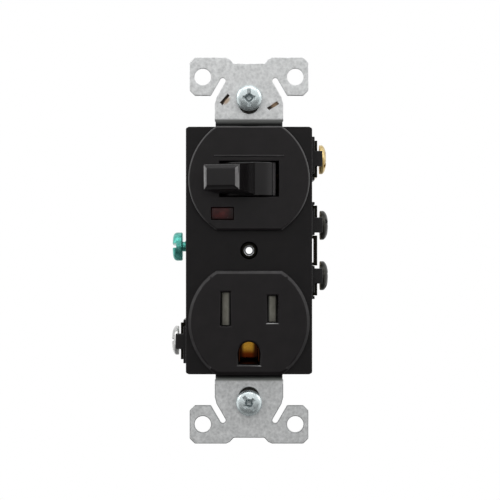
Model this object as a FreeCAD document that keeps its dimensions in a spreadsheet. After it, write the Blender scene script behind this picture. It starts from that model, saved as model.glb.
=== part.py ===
import FreeCAD, Part
import math
import os
import Sketcher
from FreeCAD import Placement, Rotation, Vector
from types import SimpleNamespace

# Switch and socket combination: a rocking toggle with a pilot window above a grounded
# receptacle, in one moulded body held by a wrap-around steel strap.
# Frame: +Z up, the faces look along -Y, +X is the viewer's right.
# Origin: midway between the two mounting screws, on the wall side of the strap ears.
# Lengths are millimetres and angles degrees.

SIZES = (
    # Standard spacings
    ("screwSpacing", 83.34, "mounting screw axes, up the device"),
    ("faceSpacing", 38.9, "centres of the two raised faces"),
    ("bladeSpacing", 12.7, "the two blade slots"),
    # Strap
    ("strapThick", 1.2, "galvanised sheet"),
    ("strapTall", 106.0, "over both ears"),
    ("earTall", 10.5, "one ear, up the device"),
    ("earWide", 32.6, "across an ear"),
    ("earCorner", 1.4, "cut corners of an ear"),
    ("neckCorner", 1.0, "cut corner where a slanted slot meets the neck"),
    ("neckWide", 18.8, "strap where it meets the ear"),
    ("legWide", 18.4, "strap along the ends and the back"),
    ("bendInside", 0.8, "inner radius of each bend"),
    ("earHole", 4.5, "diameter of the four ear holes"),
    ("earHoleAcross", 25.4, "ear holes, across"),
    ("earHoleUp", 95.4, "ear holes, up the device"),
    ("notchDeep", 1.6, "notch in the end of an ear"),
    ("notchBottom", 8.4, "width of that notch at its bottom"),
    ("notchMouth", 11.4, "width of that notch at its mouth"),
    ("notchCorner", 0.6, "cut corners of that mouth"),
    ("breakSlotWide", 1.54, "slanted slot that lets an ear break off"),
    ("breakSlotAngle", 60.0, "slant of that slot"),
    ("breakSlotAcross", 14.4, "inner ends of those slots, across"),
    ("breakSlotUp", 93.2, "inner ends of those slots, up the device"),
    ("mountSlotWide", 5.5, "slot for a mounting screw, across"),
    ("mountSlotTall", 6.9, "slot for a mounting screw, up"),
    ("mountSlotIn", 0.7, "middle of that slot from the screw, towards the device"),
    ("slitWide", 0.6, "two narrow slits in the top neck"),
    ("slitLong", 3.0, "length of a slit"),
    ("slitDeep", 0.75, "depth of a slit"),
    ("slitOff", 6.6, "slits from the middle"),
    ("slitHigh", 40.6, "slits above the middle of the device"),
    ("slitStep", 0.9, "left slit higher and right slit lower than that"),
    ("leftSlitAngle", 50.0, "slant of the left slit"),
    ("rightSlitAngle", 34.0, "slant of the right slit"),
    # Mouldings
    ("rimWide", 34.2, "cover, across"),
    ("rimTall", 66.8, "cover, up"),
    ("rimCorner", 1.4, "corner of the cover"),
    ("rimProud", 1.8, "cover rim in front of the ears"),
    ("faceWide", 33.0, "diameter of a raised face"),
    ("faceTall", 27.8, "raised face between its flats"),
    ("faceProud", 4.0, "raised face in front of the rim"),
    ("faceCorner", 0.8, "where the flats of a face meet its round"),
    ("faceRound", 0.35, "bevelled edge of a raised face"),
    ("coverWall", 2.0, "wall of the cover"),
    ("lipThick", 1.0, "lip of the cover inside the base"),
    ("lipReach", 1.5, "lip either side of the joint"),
    ("partingDeep", 5.0, "joint of cover and base, behind the ears"),
    ("bodyDeep", 25.0, "back of the base, behind the ears"),
    ("baseWide", 32.8, "base, across"),
    ("baseTall", 66.4, "base, up"),
    ("baseCorner", 1.2, "corner of the base"),
    ("baseBevel", 0.8, "bevel of the back edges of the base"),
    ("sideWall", 1.9, "long walls of the base"),
    ("endWall", 2.0, "end walls of the base"),
    ("floorThick", 2.0, "back wall of the base"),
    ("snugGap", 0.1, "clearance between fixed pieces"),
    ("runGap", 0.05, "clearance of a pin or a screw in its hole"),
    # Switch
    ("toggleThrow", 20.0, "toggle either side of the middle"),
    ("pivotDeep", 0.5, "toggle axis, behind the ears"),
    ("drumRadius", 9.6, "round drum of the toggle"),
    ("drumHalfAngle", 71.0, "drum either side of the lever"),
    ("drumTall", 9.1, "drum along its axis"),
    ("leverReach", 22.4, "tip of the lever from the axis"),
    ("leverTipWide", 9.9, "lever across its tip"),
    ("leverRootWide", 9.5, "lever across its root"),
    ("leverTipTall", 6.7, "lever tip, up the device"),
    ("leverRound", 0.9, "bevel round the lever tip"),
    ("hubRadius", 2.6, "hub of the toggle"),
    ("trunnionRadius", 1.5, "pins of the toggle"),
    ("trunnionLong", 1.9, "each pin beyond the drum"),
    ("tailReach", 9.6, "tail of the toggle from its axis"),
    ("tailWide", 2.4, "tail of the toggle, across"),
    ("slotWide", 16.2, "opening for the toggle, across"),
    ("slotTall", 9.7, "opening for the toggle, up"),
    ("bearingThick", 1.8, "bearing rib of the cover"),
    ("bearingWide", 6.0, "bearing rib, across"),
    ("markLong", 19.0, "thin raised line above the toggle"),
    ("markThick", 0.3, "width of that line"),
    ("markProud", 0.15, "height of that line"),
    ("markUp", 6.16, "that line above the toggle axis"),
    ("springRadius", 0.85, "toggle spring, middle of its wire"),
    ("springWire", 0.2, "radius of the spring wires"),
    ("springTurns", 4, "turns of each spring"),
    ("springClear", 0.7, "toggle spring to the tail"),
    ("leafThick", 0.5, "sheet of the contact leaf"),
    ("leafTall", 5.0, "contact leaf, up the device"),
    ("leafFront", 8.2, "front end of the contact leaf, behind the ears"),
    ("leafRear", 1.0, "root of the contact leaf, in front of the base floor"),
    ("curlRadius", 0.5, "rolled root of the contact leaf"),
    ("leafGap", 0.3, "tail to contact leaf"),
    ("tipDeep", 10.2, "contact tips, behind the ears"),
    ("tipRadius", 1.4, "contact tips"),
    ("tipThick", 0.8, "contact tips, proud of their leaf"),
    ("tipGap", 0.12, "between the closed contact tips"),
    # Pilot light
    ("windowWide", 6.2, "pilot window, across"),
    ("windowTall", 3.4, "pilot window, up"),
    ("windowLeft", 7.2, "pilot window, left of the middle"),
    ("windowHigh", 10.05, "pilot window, above the middle"),
    ("lensSunk", 0.8, "pilot lens behind the face"),
    ("lensLip", 0.4, "flange of the lens round the window"),
    ("lensFlange", 1.0, "thickness of that flange"),
    ("lampRadius", 2.0, "neon lamp"),
    ("lampLong", 9.6, "neon lamp"),
    ("lampDeep", 1.4, "lamp axis, behind the ears"),
    ("lampRib", 0.8, "ribs that hold the lamp"),
    ("resistorRadius", 1.1, "resistor"),
    ("resistorLong", 6.8, "resistor"),
    ("resistorNeck", 0.93, "resistor between its end caps"),
    # Receptacle
    ("bladeHigh", 3.6, "blade slots above the middle of their face"),
    ("bladeSlotWide", 2.4, "blade slots, across"),
    ("neutralSlotTall", 8.9, "longer blade slot"),
    ("hotSlotTall", 7.0, "shorter blade slot"),
    ("slotBevel", 0.45, "lead-in round each opening"),
    ("groundLow", 8.2, "ground hole below the middle of its face"),
    ("groundWide", 5.7, "ground hole, across"),
    ("groundTall", 5.7, "ground hole, up"),
    ("shutterWide", 4.4, "one shutter, across"),
    ("shutterTall", 11.0, "one shutter, up"),
    ("shutterThick", 3.0, "one shutter at its thick edge"),
    ("shutterRamp", 2.0, "slope of the shutter face"),
    ("shutterLand", 1.2, "level strip beside that slope"),
    ("shutterBore", 1.6, "spring hole in each shutter"),
    ("shutterBoreDeep", 2.6, "depth of that hole"),
    ("trayWide", 20.2, "shutter tray, across"),
    ("trayThick", 1.0, "shutter tray"),
    ("trayRail", 0.9, "rails of the tray"),
    ("trayPostWide", 2.4, "post behind the tray, across"),
    ("trayPostTall", 9.0, "post behind the tray, up"),
    ("springPinLong", 1.0, "pin that the toggle spring stands on"),
    ("springPinRadius", 0.35, "that pin"),
    ("contactThick", 0.6, "sheet of the receptacle contacts"),
    ("bladeThick", 1.5, "room for a blade"),
    ("contactTall", 7.0, "blade contacts, up"),
    ("contactFront", 0.5, "mouth of the contacts, behind the ears"),
    ("contactBack", 11.0, "bottom of the blade contacts"),
    ("pinRoom", 4.9, "room for the ground pin"),
    ("groundContactTall", 6.0, "ground contact, up"),
    ("pinStop", 13.8, "stop for the ground pin, behind the ears"),
    ("pinStopTall", 5.2, "that stop, up"),
    # Terminals
    ("terminalDeep", 13.0, "terminal screw axes, behind the ears"),
    ("plateOut", 19.1, "outer side of the terminal plates"),
    ("plateThick", 0.85, "sheet of the terminals"),
    ("plateDeep", 8.0, "terminal plates, front to back"),
    ("plateTall", 10.3, "brass and silver screw plates, up"),
    ("brassHigh", 25.6, "brass screw above the middle"),
    ("silverLow", 25.3, "silver screw below the middle"),
    ("blackOff", 7.1, "black screws from the middle"),
    ("blackPlateNear", 5.2, "black screw plates, near edge from the middle"),
    ("blackPlateFar", 12.6, "black screw plates, far edge from the middle"),
    ("finHalf", 4.2, "half of the break-off fin"),
    ("padDeep", 13.6, "terminal pads of the base, front to back"),
    ("padMargin", 0.9, "pads beyond their plates"),
    ("guardTall", 4.2, "rib in front of each terminal screw"),
    ("guardOut", 20.4, "outer side of those ribs"),
    ("shankRadius", 1.75, "all screw shanks"),
    ("headRadius", 4.1, "terminal screw heads"),
    ("headRim", 1.0, "flat rim of a terminal head"),
    ("headDome", 1.0, "dome of a terminal head"),
    ("domeFlat", 2.55, "radius of the flat on that dome"),
    ("headGap", 0.6, "terminal head to its plate"),
    ("shankLong", 4.2, "terminal screw shanks"),
    ("wellGap", 0.35, "hole of the base round a screw shank"),
    ("driveSlot", 1.1, "width of a driver slot"),
    ("driveDeep", 0.9, "depth of a driver slot"),
    ("cutPast", 1.0, "how far a cut or a joint runs past a face"),
    # Ground screw and tab
    ("tabTall", 9.0, "ground tab of the strap, up"),
    ("tabHigh", 1.1, "ground screw above the middle"),
    ("tabFront", 9.0, "front end of the ground tab, behind the ears"),
    ("greenRadius", 4.0, "ground screw head"),
    ("greenHigh", 2.8, "ground screw head"),
    ("greenBevel", 0.9, "bevelled edge of that head"),
    ("greenGap", 1.1, "ground screw head to its tab"),
    # Mounting screws, washers, post and rivets
    ("mountHead", 3.55, "radius of a mounting screw head"),
    ("mountHeadHigh", 1.9, "mounting screw head"),
    ("mountFlat", 1.9, "radius of the flat on that head"),
    ("mountShoulder", 3.0, "radius where that head turns down"),
    ("mountSlope", 0.5, "fall of that head to its shoulder"),
    ("mountEdge", 0.6, "straight edge of that head"),
    ("mountRaise", 2.0, "mounting screw head off the strap"),
    ("mountLong", 21.0, "mounting screw shank"),
    ("mountNeck", 1.45, "radius of the plain neck under that head"),
    ("neckLong", 4.4, "plain neck, from the head"),
    ("washerRadius", 4.4, "retaining washer"),
    ("washerThick", 0.8, "retaining washer"),
    ("centreHole", 4.8, "hole in the cover for the wall plate screw"),
    ("postRadius", 2.0, "threaded post"),
    ("postBore", 1.4, "thread of that post"),
    ("postSunk", 1.2, "post behind the rim"),
    ("bossRadius", 4.2, "boss of the base round the post"),
    ("rivetRadius", 1.2, "rivet shanks"),
    ("rivetHead", 2.0, "rivet heads"),
    ("rivetHeadHigh", 0.9, "rivet heads"),
    ("rivetAcross", 12.8, "the two strap rivets"),
)

PARTS_FOLDER = "parts"
WIRE_SIDES = 4

doc = FreeCAD.newDocument("SwitchAndSocket")
sheet = doc.addObject("Spreadsheet::Sheet", "Sizes")
nodes = []


class Size:
    """A number that keeps the sheet formula it was worked out from."""

    def __init__(self, number, formula):
        self.number = float(number)
        self.formula = formula

    def __float__(self):
        return self.number

    def __add__(self, other):
        return combine(self, "+", other, self.number + float(other))

    def __radd__(self, other):
        return as_size(other) + self

    def __sub__(self, other):
        return combine(self, "-", other, self.number - float(other))

    def __rsub__(self, other):
        return as_size(other) - self

    def __mul__(self, other):
        return combine(self, "*", other, self.number * float(other))

    def __rmul__(self, other):
        return as_size(other) * self

    def __truediv__(self, other):
        return combine(self, "/", other, self.number / float(other))

    def __neg__(self):
        return as_size(0) - self


def sine(angle):
    return Size(math.sin(math.radians(float(angle))), "sin(%s * 1 deg)" % as_size(angle).formula)


def cosine(angle):
    return Size(math.cos(math.radians(float(angle))), "cos(%s * 1 deg)" % as_size(angle).formula)


def as_size(value):
    if isinstance(value, Size):
        return value
    return Size(value, "(%.6f)" % float(value))


def combine(left, sign, right, number):
    return Size(number, "(%s %s %s)" % (left.formula, sign, as_size(right).formula))


def fill_sheet():
    """Writes the driving sizes to the sheet and returns them by name."""
    found = {}
    for row, (alias, number, note) in enumerate(SIZES, start=1):
        sheet.set("A%d" % row, alias)
        sheet.set("B%d" % row, "%g" % number)
        sheet.set("C%d" % row, note)
        sheet.setAlias("B%d" % row, alias)
        found[alias] = Size(number, "Sizes.%s" % alias)
    doc.recompute()
    return found


d = SimpleNamespace(**fill_sheet())


def bind(thing, prop, value):
    """Ties one property of a document object to its sheet formula."""
    thing.setExpression(prop, as_size(value).formula)


# Bodies, sketches and features

PLANE_NORMALS = {"YZ": 1, "XZ": -1, "XY": 1}


def new_body(name):
    """Starts one sub-part, labelled with its file name."""
    made = doc.addObject("PartDesign::Body", name)
    made.Label = name
    nodes.append(made)
    return made


def sketch_on(owner, name, plane, place):
    """An empty sketch across the owner's own plane, at a place along its axis."""
    sketch = owner.newObject("Sketcher::SketchObject", name)
    role = plane + "_Plane"
    base = next(item for item in owner.Origin.OriginFeatures if item.Role == role)
    sketch.AttachmentSupport = [(base, "")]
    sketch.MapMode = "FlatFace"
    height = as_size(place) * PLANE_NORMALS[plane]
    sketch.AttachmentOffset = Placement(Vector(0, 0, float(height)), Rotation())
    bind(sketch, "AttachmentOffset.Base.z", height)
    return sketch


def hold(sketch, kind, geometry, point, value):
    """Constrains one sketch value and ties it to the sheet."""
    number = float(value)
    if kind == "Radius":
        index = sketch.addConstraint(Sketcher.Constraint(kind, geometry, number))
    else:
        index = sketch.addConstraint(Sketcher.Constraint(kind, geometry, point, number))
    bind(sketch, "Constraints[%d]" % index, value)


def join(sketch, one, one_end, other, other_end):
    sketch.addConstraint(Sketcher.Constraint("Coincident", one, one_end, other, other_end))


def outline(points):
    """Draws a closed outline through points given as pairs of sizes."""
    def draw(sketch):
        corners = [Vector(float(across), float(up), 0) for across, up in points]
        first = sketch.GeometryCount
        count = len(corners)
        for index, corner in enumerate(corners):
            after = corners[(index + 1) % count]
            sketch.addGeometry(Part.LineSegment(corner, after))
        for index, (across, up) in enumerate(points):
            join(sketch, first + (index - 1) % count, 2, first + index, 1)
            hold(sketch, "DistanceX", first + index, 1, across)
            hold(sketch, "DistanceY", first + index, 1, up)
    return draw


def rectangle(left, right, low, high):
    return outline([(left, low), (right, low), (right, high), (left, high)])


def centred(wide, tall, across=0, up=0):
    return rectangle(across - wide / 2, across + wide / 2, up - tall / 2, up + tall / 2)


def ring(radius, across=0, up=0):
    """Draws a circle."""
    def draw(sketch):
        centre = Vector(float(across), float(up), 0)
        index = sketch.addGeometry(Part.Circle(centre, Vector(0, 0, 1), float(radius)))
        hold(sketch, "Radius", index, 0, radius)
        hold(sketch, "DistanceX", index, 3, across)
        hold(sketch, "DistanceY", index, 3, up)
    return draw


def flatted_disc(radius, half_tall, up):
    """Draws a disc cut off straight above and below."""
    def draw(sketch):
        big = float(radius)
        half = float(half_tall)
        centre = Vector(0, float(up), 0)
        turn = math.asin(half / big)
        circle = Part.Circle(centre, Vector(0, 0, 1), big)
        right = sketch.addGeometry(Part.ArcOfCircle(circle, -turn, turn))
        left = sketch.addGeometry(Part.ArcOfCircle(circle, math.pi - turn, math.pi + turn))
        reach = big * math.cos(turn)
        high = sketch.addGeometry(Part.LineSegment(centre + Vector(reach, half, 0),
                                                   centre + Vector(-reach, half, 0)))
        low = sketch.addGeometry(Part.LineSegment(centre + Vector(-reach, -half, 0),
                                                  centre + Vector(reach, -half, 0)))
        join(sketch, right, 2, high, 1)
        join(sketch, high, 2, left, 1)
        join(sketch, left, 2, low, 1)
        join(sketch, low, 2, right, 1)
        join(sketch, right, 3, left, 3)
        sketch.addConstraint(Sketcher.Constraint("Equal", right, left))
        hold(sketch, "Radius", right, 0, radius)
        hold(sketch, "DistanceX", right, 3, as_size(0))
        hold(sketch, "DistanceY", right, 3, up)
        for line, edge in ((high, up + half_tall), (low, up - half_tall)):
            hold(sketch, "DistanceY", line, 1, edge)
            sketch.addConstraint(Sketcher.Constraint("Horizontal", line))
    return draw


def pad(owner, name, plane, start, end, *drawings):
    """Adds material between two places along the plane's axis."""
    ground = end if plane == "XZ" else start
    sketch = sketch_on(owner, name + "Sketch", plane, ground)
    for draw in drawings:
        draw(sketch)
    feature = owner.newObject("PartDesign::Pad", name)
    feature.Profile = sketch
    feature.Length = abs(float(end) - float(start))
    bind(feature, "Length", end - start)
    return feature


def pocket(owner, name, plane, start, end, *drawings):
    """Takes material away between two places along the plane's axis."""
    ground = start if plane == "XZ" else end
    sketch = sketch_on(owner, name + "Sketch", plane, ground)
    for draw in drawings:
        draw(sketch)
    feature = owner.newObject("PartDesign::Pocket", name)
    feature.Profile = sketch
    feature.Length = abs(float(end) - float(start))
    bind(feature, "Length", end - start)
    return feature


def turned(owner, name, points):
    """Turns an outline of radius and place along +Y about the Y axis."""
    sketch = sketch_on(owner, name + "Sketch", "XY", as_size(0))
    outline(points)(sketch)
    feature = owner.newObject("PartDesign::Revolution", name)
    feature.Profile = sketch
    feature.ReferenceAxis = (sketch, ["V_Axis"])
    feature.Angle = 360
    return feature


def round_edges(owner, name, kind, value, choose):
    """Rounds or bevels the edges that are chosen from the body as it is so far."""
    doc.recompute()
    tip = owner.Tip
    picked = ["Edge%d" % number for number, edge in enumerate(tip.Shape.Edges, start=1) if choose(edge)]
    feature = owner.newObject("PartDesign::" + kind, name)
    feature.Base = (tip, picked)
    prop = "Radius" if kind == "Fillet" else "Size"
    setattr(feature, prop, float(value))
    bind(feature, prop, value)
    return feature


NEAR = 0.01


def same(one, other):
    return abs(float(one) - float(other)) < NEAR


def runs_along(edge, axis):
    """True for a straight edge parallel to an axis."""
    if len(edge.Vertexes) != 2 or edge.Curve.TypeId != "Part::GeomLine":
        return False
    step = edge.Vertexes[1].Point - edge.Vertexes[0].Point
    return abs(abs(step.dot(axis)) - step.Length) < NEAR


def lies_at(edge, axis, place):
    """True for an edge that lies wholly at one place along an axis."""
    box = edge.BoundBox
    low = Vector(box.XMin, box.YMin, box.ZMin).dot(axis)
    high = Vector(box.XMax, box.YMax, box.ZMax).dot(axis)
    return same(low, place) and same(high, place)


ALONG_X = Vector(1, 0, 0)
ALONG_Y = Vector(0, 1, 0)
ALONG_Z = Vector(0, 0, 1)


# Places that several pieces share

earFront = -d.strapThick
rimFront = earFront - d.rimProud
faceFront = rimFront - d.faceProud
faceInside = faceFront + d.coverWall
rimInside = rimFront + d.coverWall
floorInside = d.bodyDeep - d.floorThick
faceHigh = d.faceSpacing / 2
faceLow = -faceHigh
mountHigh = d.screwSpacing / 2
legInside = d.rimTall / 2 + d.snugGap
legOutside = legInside + d.strapThick
earInside = d.strapTall / 2 - d.earTall
cavityHalf = d.baseWide / 2 - d.sideWall
strapBack = d.bodyDeep + d.strapThick
bladeUp = faceLow + d.bladeHigh
groundHigh = faceLow - d.groundLow
skirtHalf = cavityHalf - d.snugGap
cavityHigh = d.baseTall / 2 - d.endWall
skirtHigh = cavityHigh - d.snugGap
plateIn = d.plateOut - d.plateThick
brassLow = d.brassHigh - d.plateTall / 2
brassHigh = d.brassHigh + d.plateTall / 2
silverLow = -d.silverLow - d.plateTall / 2
silverHigh = -d.silverLow + d.plateTall / 2
trayFront = faceInside + d.shutterThick + d.snugGap * 2
trayBack = trayFront + d.trayThick
stripOut = cavityHalf - d.runGap
stripIn = stripOut - d.plateThick
leafLeft = sine(d.toggleThrow) * d.tailReach + d.tailWide / 2 + d.leafGap
leafRight = leafLeft + d.leafThick
leafMiddle = leafLeft + d.leafThick / 2
leafPivot = floorInside - d.leafRear
fixedTipBack = leafRight + d.tipThick * 2 + d.tipGap
windowRoomWide = d.windowWide + d.lensLip * 2
windowRoomTall = d.windowTall + d.lensLip * 2
plateFront = d.terminalDeep - d.plateDeep / 2
plateBack = d.terminalDeep + d.plateDeep / 2
shutterInner = d.bladeSpacing / 2 - d.shutterWide / 2
boreDeep = faceInside + d.snugGap + d.shutterThick - d.shutterBore / 2 - d.snugGap * 4


def slanted(long, wide, angle, across, up):
    """Draws a rectangle about a middle point, its long side turned up from +X."""
    along = (cosine(angle) * long / 2, sine(angle) * long / 2)
    aside = (-sine(angle) * wide / 2, cosine(angle) * wide / 2)
    corners = []
    for one, two in ((-1, -1), (1, -1), (1, 1), (-1, 1)):
        corners.append((across + along[0] * one + aside[0] * two,
                        up + along[1] * one + aside[1] * two))
    return outline(corners)


def make_strap():
    """Folded sheet: an ear at each end, a leg down each end of the body and a back strip."""
    body = new_body("strap")
    top = d.strapTall / 2
    zero = as_size(0)
    pad(body, "StrapFold", "YZ", -d.earWide / 2, d.earWide / 2, outline([
        (earFront, top), (earFront, legInside), (zero, legInside),
        (d.bodyDeep, legInside), (d.bodyDeep, -legInside), (zero, -legInside),
        (earFront, -legInside), (earFront, -top), (zero, -top),
        (zero, -legOutside), (strapBack, -legOutside), (strapBack, legOutside),
        (zero, legOutside), (zero, top)]))
    outer_bends = [(earFront, legInside), (earFront, -legInside),
                   (strapBack, legOutside), (strapBack, -legOutside)]
    inner_bends = [(zero, legOutside), (zero, -legOutside),
                   (d.bodyDeep, legInside), (d.bodyDeep, -legInside)]
    round_edges(body, "OuterBends", "Fillet", d.bendInside + d.strapThick, crossing_at(outer_bends))
    round_edges(body, "InnerBends", "Fillet", d.bendInside, crossing_at(inner_bends))
    trim_strap_sides(body)
    cut_ears(body)
    add_ground_tab(body)
    pocket(body, "BackHoles", "XZ", d.bodyDeep, strapBack,
           ring(d.rivetRadius + d.runGap, -d.rivetAcross / 2),
           ring(d.rivetRadius + d.runGap, d.rivetAcross / 2),
           ring(d.postRadius + d.runGap),
           ring(d.rivetRadius + d.runGap, up=groundHigh))
    return body


def crossing_at(places):
    """Chooses the edges along X that pass through the given places of Y and Z."""
    def choose(edge):
        if not runs_along(edge, ALONG_X):
            return False
        point = edge.Vertexes[0].Point
        return any(same(point.y, deep) and same(point.z, high) for deep, high in places)
    return choose


def trim_strap_sides(body):
    """Narrows the strap from the ears to the neck and again to the legs."""
    neck_end = legOutside + d.bendInside
    beyond = d.earWide / 2 + d.cutPast
    neck = d.neckWide / 2
    leg = d.legWide / 2
    sides = []
    for side in (1, -1):
        sides.append(outline([
            (beyond * side, -earInside), (neck * side, -earInside), (neck * side, -neck_end),
            (leg * side, -neck_end), (leg * side, neck_end), (neck * side, neck_end),
            (neck * side, earInside), (beyond * side, earInside)]))
    pocket(body, "StrapSides", "XZ", earFront - d.cutPast, strapBack + d.cutPast, *sides)


def cut_ears(body):
    """Holes, notches and break-off slots of both ears, and the slits in the top neck."""
    front = earFront - d.cutPast
    back = d.cutPast
    top = d.strapTall / 2
    corners = [(x * d.earWide / 2, z * up) for x in (1, -1) for z in (1, -1)
               for up in (top, earInside)]
    round_edges(body, "EarCorners", "Chamfer", d.earCorner, standing_at(corners))
    holes = [ring(d.earHole / 2, d.earHoleAcross / 2 * x, d.earHoleUp / 2 * z)
             for x in (1, -1) for z in (1, -1)]
    pocket(body, "EarHoles", "XZ", front, back, *holes)
    slots = [stadium(d.mountSlotWide, d.mountSlotTall, (mountHigh - d.mountSlotIn) * z)
             for z in (1, -1)]
    pocket(body, "MountSlots", "XZ", front, back, *slots)
    notches = []
    for z in (1, -1):
        notches.append(outline([
            (-d.notchMouth / 2, (top + d.cutPast) * z), (-d.notchMouth / 2, top * z),
            (-d.notchBottom / 2, (top - d.notchDeep) * z),
            (d.notchBottom / 2, (top - d.notchDeep) * z),
            (d.notchMouth / 2, top * z), (d.notchMouth / 2, (top + d.cutPast) * z)]))
    pocket(body, "EarNotches", "XZ", front, back, *notches)
    mouths = [(x * d.notchMouth / 2, z * top) for x in (1, -1) for z in (1, -1)]
    round_edges(body, "NotchCorners", "Chamfer", d.notchCorner, standing_at(mouths))
    run = (d.breakSlotUp / 2 - earInside) / sine(d.breakSlotAngle) + d.breakSlotWide
    cuts = []
    ends = []
    for x in (1, -1):
        for z in (1, -1):
            across = (d.breakSlotAcross / 2 + cosine(d.breakSlotAngle) * run / 2) * x
            up = (d.breakSlotUp / 2 - sine(d.breakSlotAngle) * run / 2) * z
            cuts.append(slanted(run, d.breakSlotWide, d.breakSlotAngle * (-x * z), across, up))
            ends.append(ring(d.breakSlotWide / 2, d.breakSlotAcross / 2 * x, d.breakSlotUp / 2 * z))
    pocket(body, "BreakSlots", "XZ", front, back, *cuts)
    pocket(body, "BreakSlotEnds", "XZ", front, back, *ends)
    neck_end = legOutside + d.bendInside

    def at_slot(edge):
        if not runs_along(edge, ALONG_Y):
            return False
        point = edge.Vertexes[0].Point
        above = float(neck_end) + NEAR < abs(point.z) < float(earInside) - NEAR
        return above and same(abs(point.x), d.neckWide / 2)

    round_edges(body, "NeckCorners", "Chamfer", d.neckCorner, at_slot)
    left = slanted(d.slitLong, d.slitWide, d.leftSlitAngle, -d.slitOff, d.slitHigh + d.slitStep)
    right = slanted(d.slitLong, d.slitWide, d.rightSlitAngle, d.slitOff, d.slitHigh - d.slitStep)
    pocket(body, "NeckSlits", "XZ", earFront, earFront + d.slitDeep, left, right)


def add_ground_tab(body):
    """A branch of the back strip, folded forward along the left side for the ground screw."""
    low = d.tabHigh - d.tabTall / 2
    high = d.tabHigh + d.tabTall / 2
    inside = d.baseWide / 2
    outside = inside + d.strapThick
    root = d.cutPast - d.legWide / 2
    pad(body, "GroundTab", "XY", low, high, outline([
        (root, d.bodyDeep), (root, strapBack), (-outside, strapBack),
        (-outside, d.tabFront), (-inside, d.tabFront), (-inside, d.bodyDeep)]))
    round_edges(body, "TabOuterBend", "Fillet", d.bendInside + d.strapThick,
                upright_at([(-outside, strapBack)]))
    round_edges(body, "TabInnerBend", "Fillet", d.bendInside, upright_at([(-inside, d.bodyDeep)]))
    pocket(body, "TabThread", "YZ", -outside - d.cutPast, d.cutPast - inside,
           ring(d.shankRadius + d.runGap, d.terminalDeep, d.tabHigh))


def standing_at(places):
    """Chooses the edges along Y that pass through the given places of X and Z."""
    def choose(edge):
        if not runs_along(edge, ALONG_Y):
            return False
        point = edge.Vertexes[0].Point
        return any(same(point.x, across) and same(point.z, high) for across, high in places)
    return choose


def upright_at(places):
    """Chooses the edges along Z that pass through the given places of X and Y."""
    def choose(edge):
        if not runs_along(edge, ALONG_Z):
            return False
        point = edge.Vertexes[0].Point
        return any(same(point.x, across) and same(point.y, deep) for across, deep in places)
    return choose


def stadium(wide, tall, up):
    """Draws an upright slot with round ends."""
    def draw(sketch):
        radius = float(wide) / 2
        reach = float(tall) / 2 - radius
        high = float(up)
        top_circle = Part.Circle(Vector(0, high + reach, 0), Vector(0, 0, 1), radius)
        low_circle = Part.Circle(Vector(0, high - reach, 0), Vector(0, 0, 1), radius)
        top = sketch.addGeometry(Part.ArcOfCircle(top_circle, 0, math.pi))
        low = sketch.addGeometry(Part.ArcOfCircle(low_circle, math.pi, 2 * math.pi))
        left = sketch.addGeometry(Part.LineSegment(Vector(-radius, high + reach, 0),
                                                   Vector(-radius, high - reach, 0)))
        right = sketch.addGeometry(Part.LineSegment(Vector(radius, high - reach, 0),
                                                    Vector(radius, high + reach, 0)))
        for one, one_end, other, other_end in ((top, 2, left, 1), (left, 2, low, 1),
                                               (low, 2, right, 1), (right, 2, top, 1)):
            sketch.addConstraint(Sketcher.Constraint("Tangent", one, one_end, other, other_end))
        sketch.addConstraint(Sketcher.Constraint("Equal", top, low))
        hold(sketch, "Radius", top, 0, wide / 2)
        for arc, side in ((top, 1), (low, -1)):
            hold(sketch, "DistanceX", arc, 3, as_size(0))
            hold(sketch, "DistanceY", arc, 3, up + (tall - wide) / 2 * side)
    return draw


def make_cover():
    """Moulded front: a rim with two raised round faces, hollow behind, open at the back."""
    body = new_body("cover")
    half_wide = d.rimWide / 2
    half_tall = d.rimTall / 2
    pad(body, "Rim", "XZ", rimFront, d.partingDeep, centred(d.rimWide, d.rimTall))
    corners = [(half_wide * x, half_tall * z) for x in (1, -1) for z in (1, -1)]
    round_edges(body, "RimCorners", "Fillet", d.rimCorner, standing_at(corners))
    for name, up in (("UpperFace", faceHigh), ("LowerFace", faceLow)):
        pad(body, name, "XZ", faceFront, rimFront + d.coverWall / 2,
            flatted_disc(d.faceWide / 2, d.faceTall / 2, up))
    round_edges(body, "FaceCorners", "Fillet", d.faceCorner,
                lambda edge: runs_along(edge, ALONG_Y) and same(edge.BoundBox.YMin, faceFront))
    round_edges(body, "FaceEdges", "Chamfer", d.faceRound,
                lambda edge: lies_at(edge, ALONG_Y, faceFront))
    pocket(body, "Hollow", "XZ", rimInside, d.partingDeep,
           centred(skirtHalf * 2, skirtHigh * 2))
    for name, up in (("UpperHollow", faceHigh), ("LowerHollow", faceLow)):
        pocket(body, name, "XZ", faceInside, rimInside,
               flatted_disc(d.faceWide / 2 - d.coverWall, d.faceTall / 2 - d.coverWall, up))
    pocket(body, "LensRoom", "XZ", faceInside, rimInside,
           centred(windowRoomWide + d.snugGap * 2, windowRoomTall + d.snugGap * 2,
                   -d.windowLeft, d.windowHigh))
    add_cover_lip(body)
    cut_cover_openings(body)
    add_bearings(body)
    add_lamp_ribs(body)
    pad(body, "RaisedMark", "XZ", faceFront - d.markProud, faceFront + d.markProud,
        centred(d.markLong, d.markThick, up=faceHigh + d.markUp))
    return body


def add_cover_lip(body):
    """A thin lip that reaches into the base and keeps the two mouldings in line."""
    pad(body, "Lip", "XZ", d.partingDeep - d.lipReach, d.partingDeep + d.lipReach,
        centred(skirtHalf * 2, skirtHigh * 2),
        centred(skirtHalf * 2 - d.lipThick * 2, skirtHigh * 2 - d.lipThick * 2))
    half = d.pinRoom / 2 + d.contactThick + d.lipThick / 2
    pocket(body, "LipNotch", "XZ", d.partingDeep - d.lipReach, d.partingDeep + d.lipReach,
           rectangle(-half, half, -skirtHigh, d.lipThick * 2 - skirtHigh))


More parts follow.
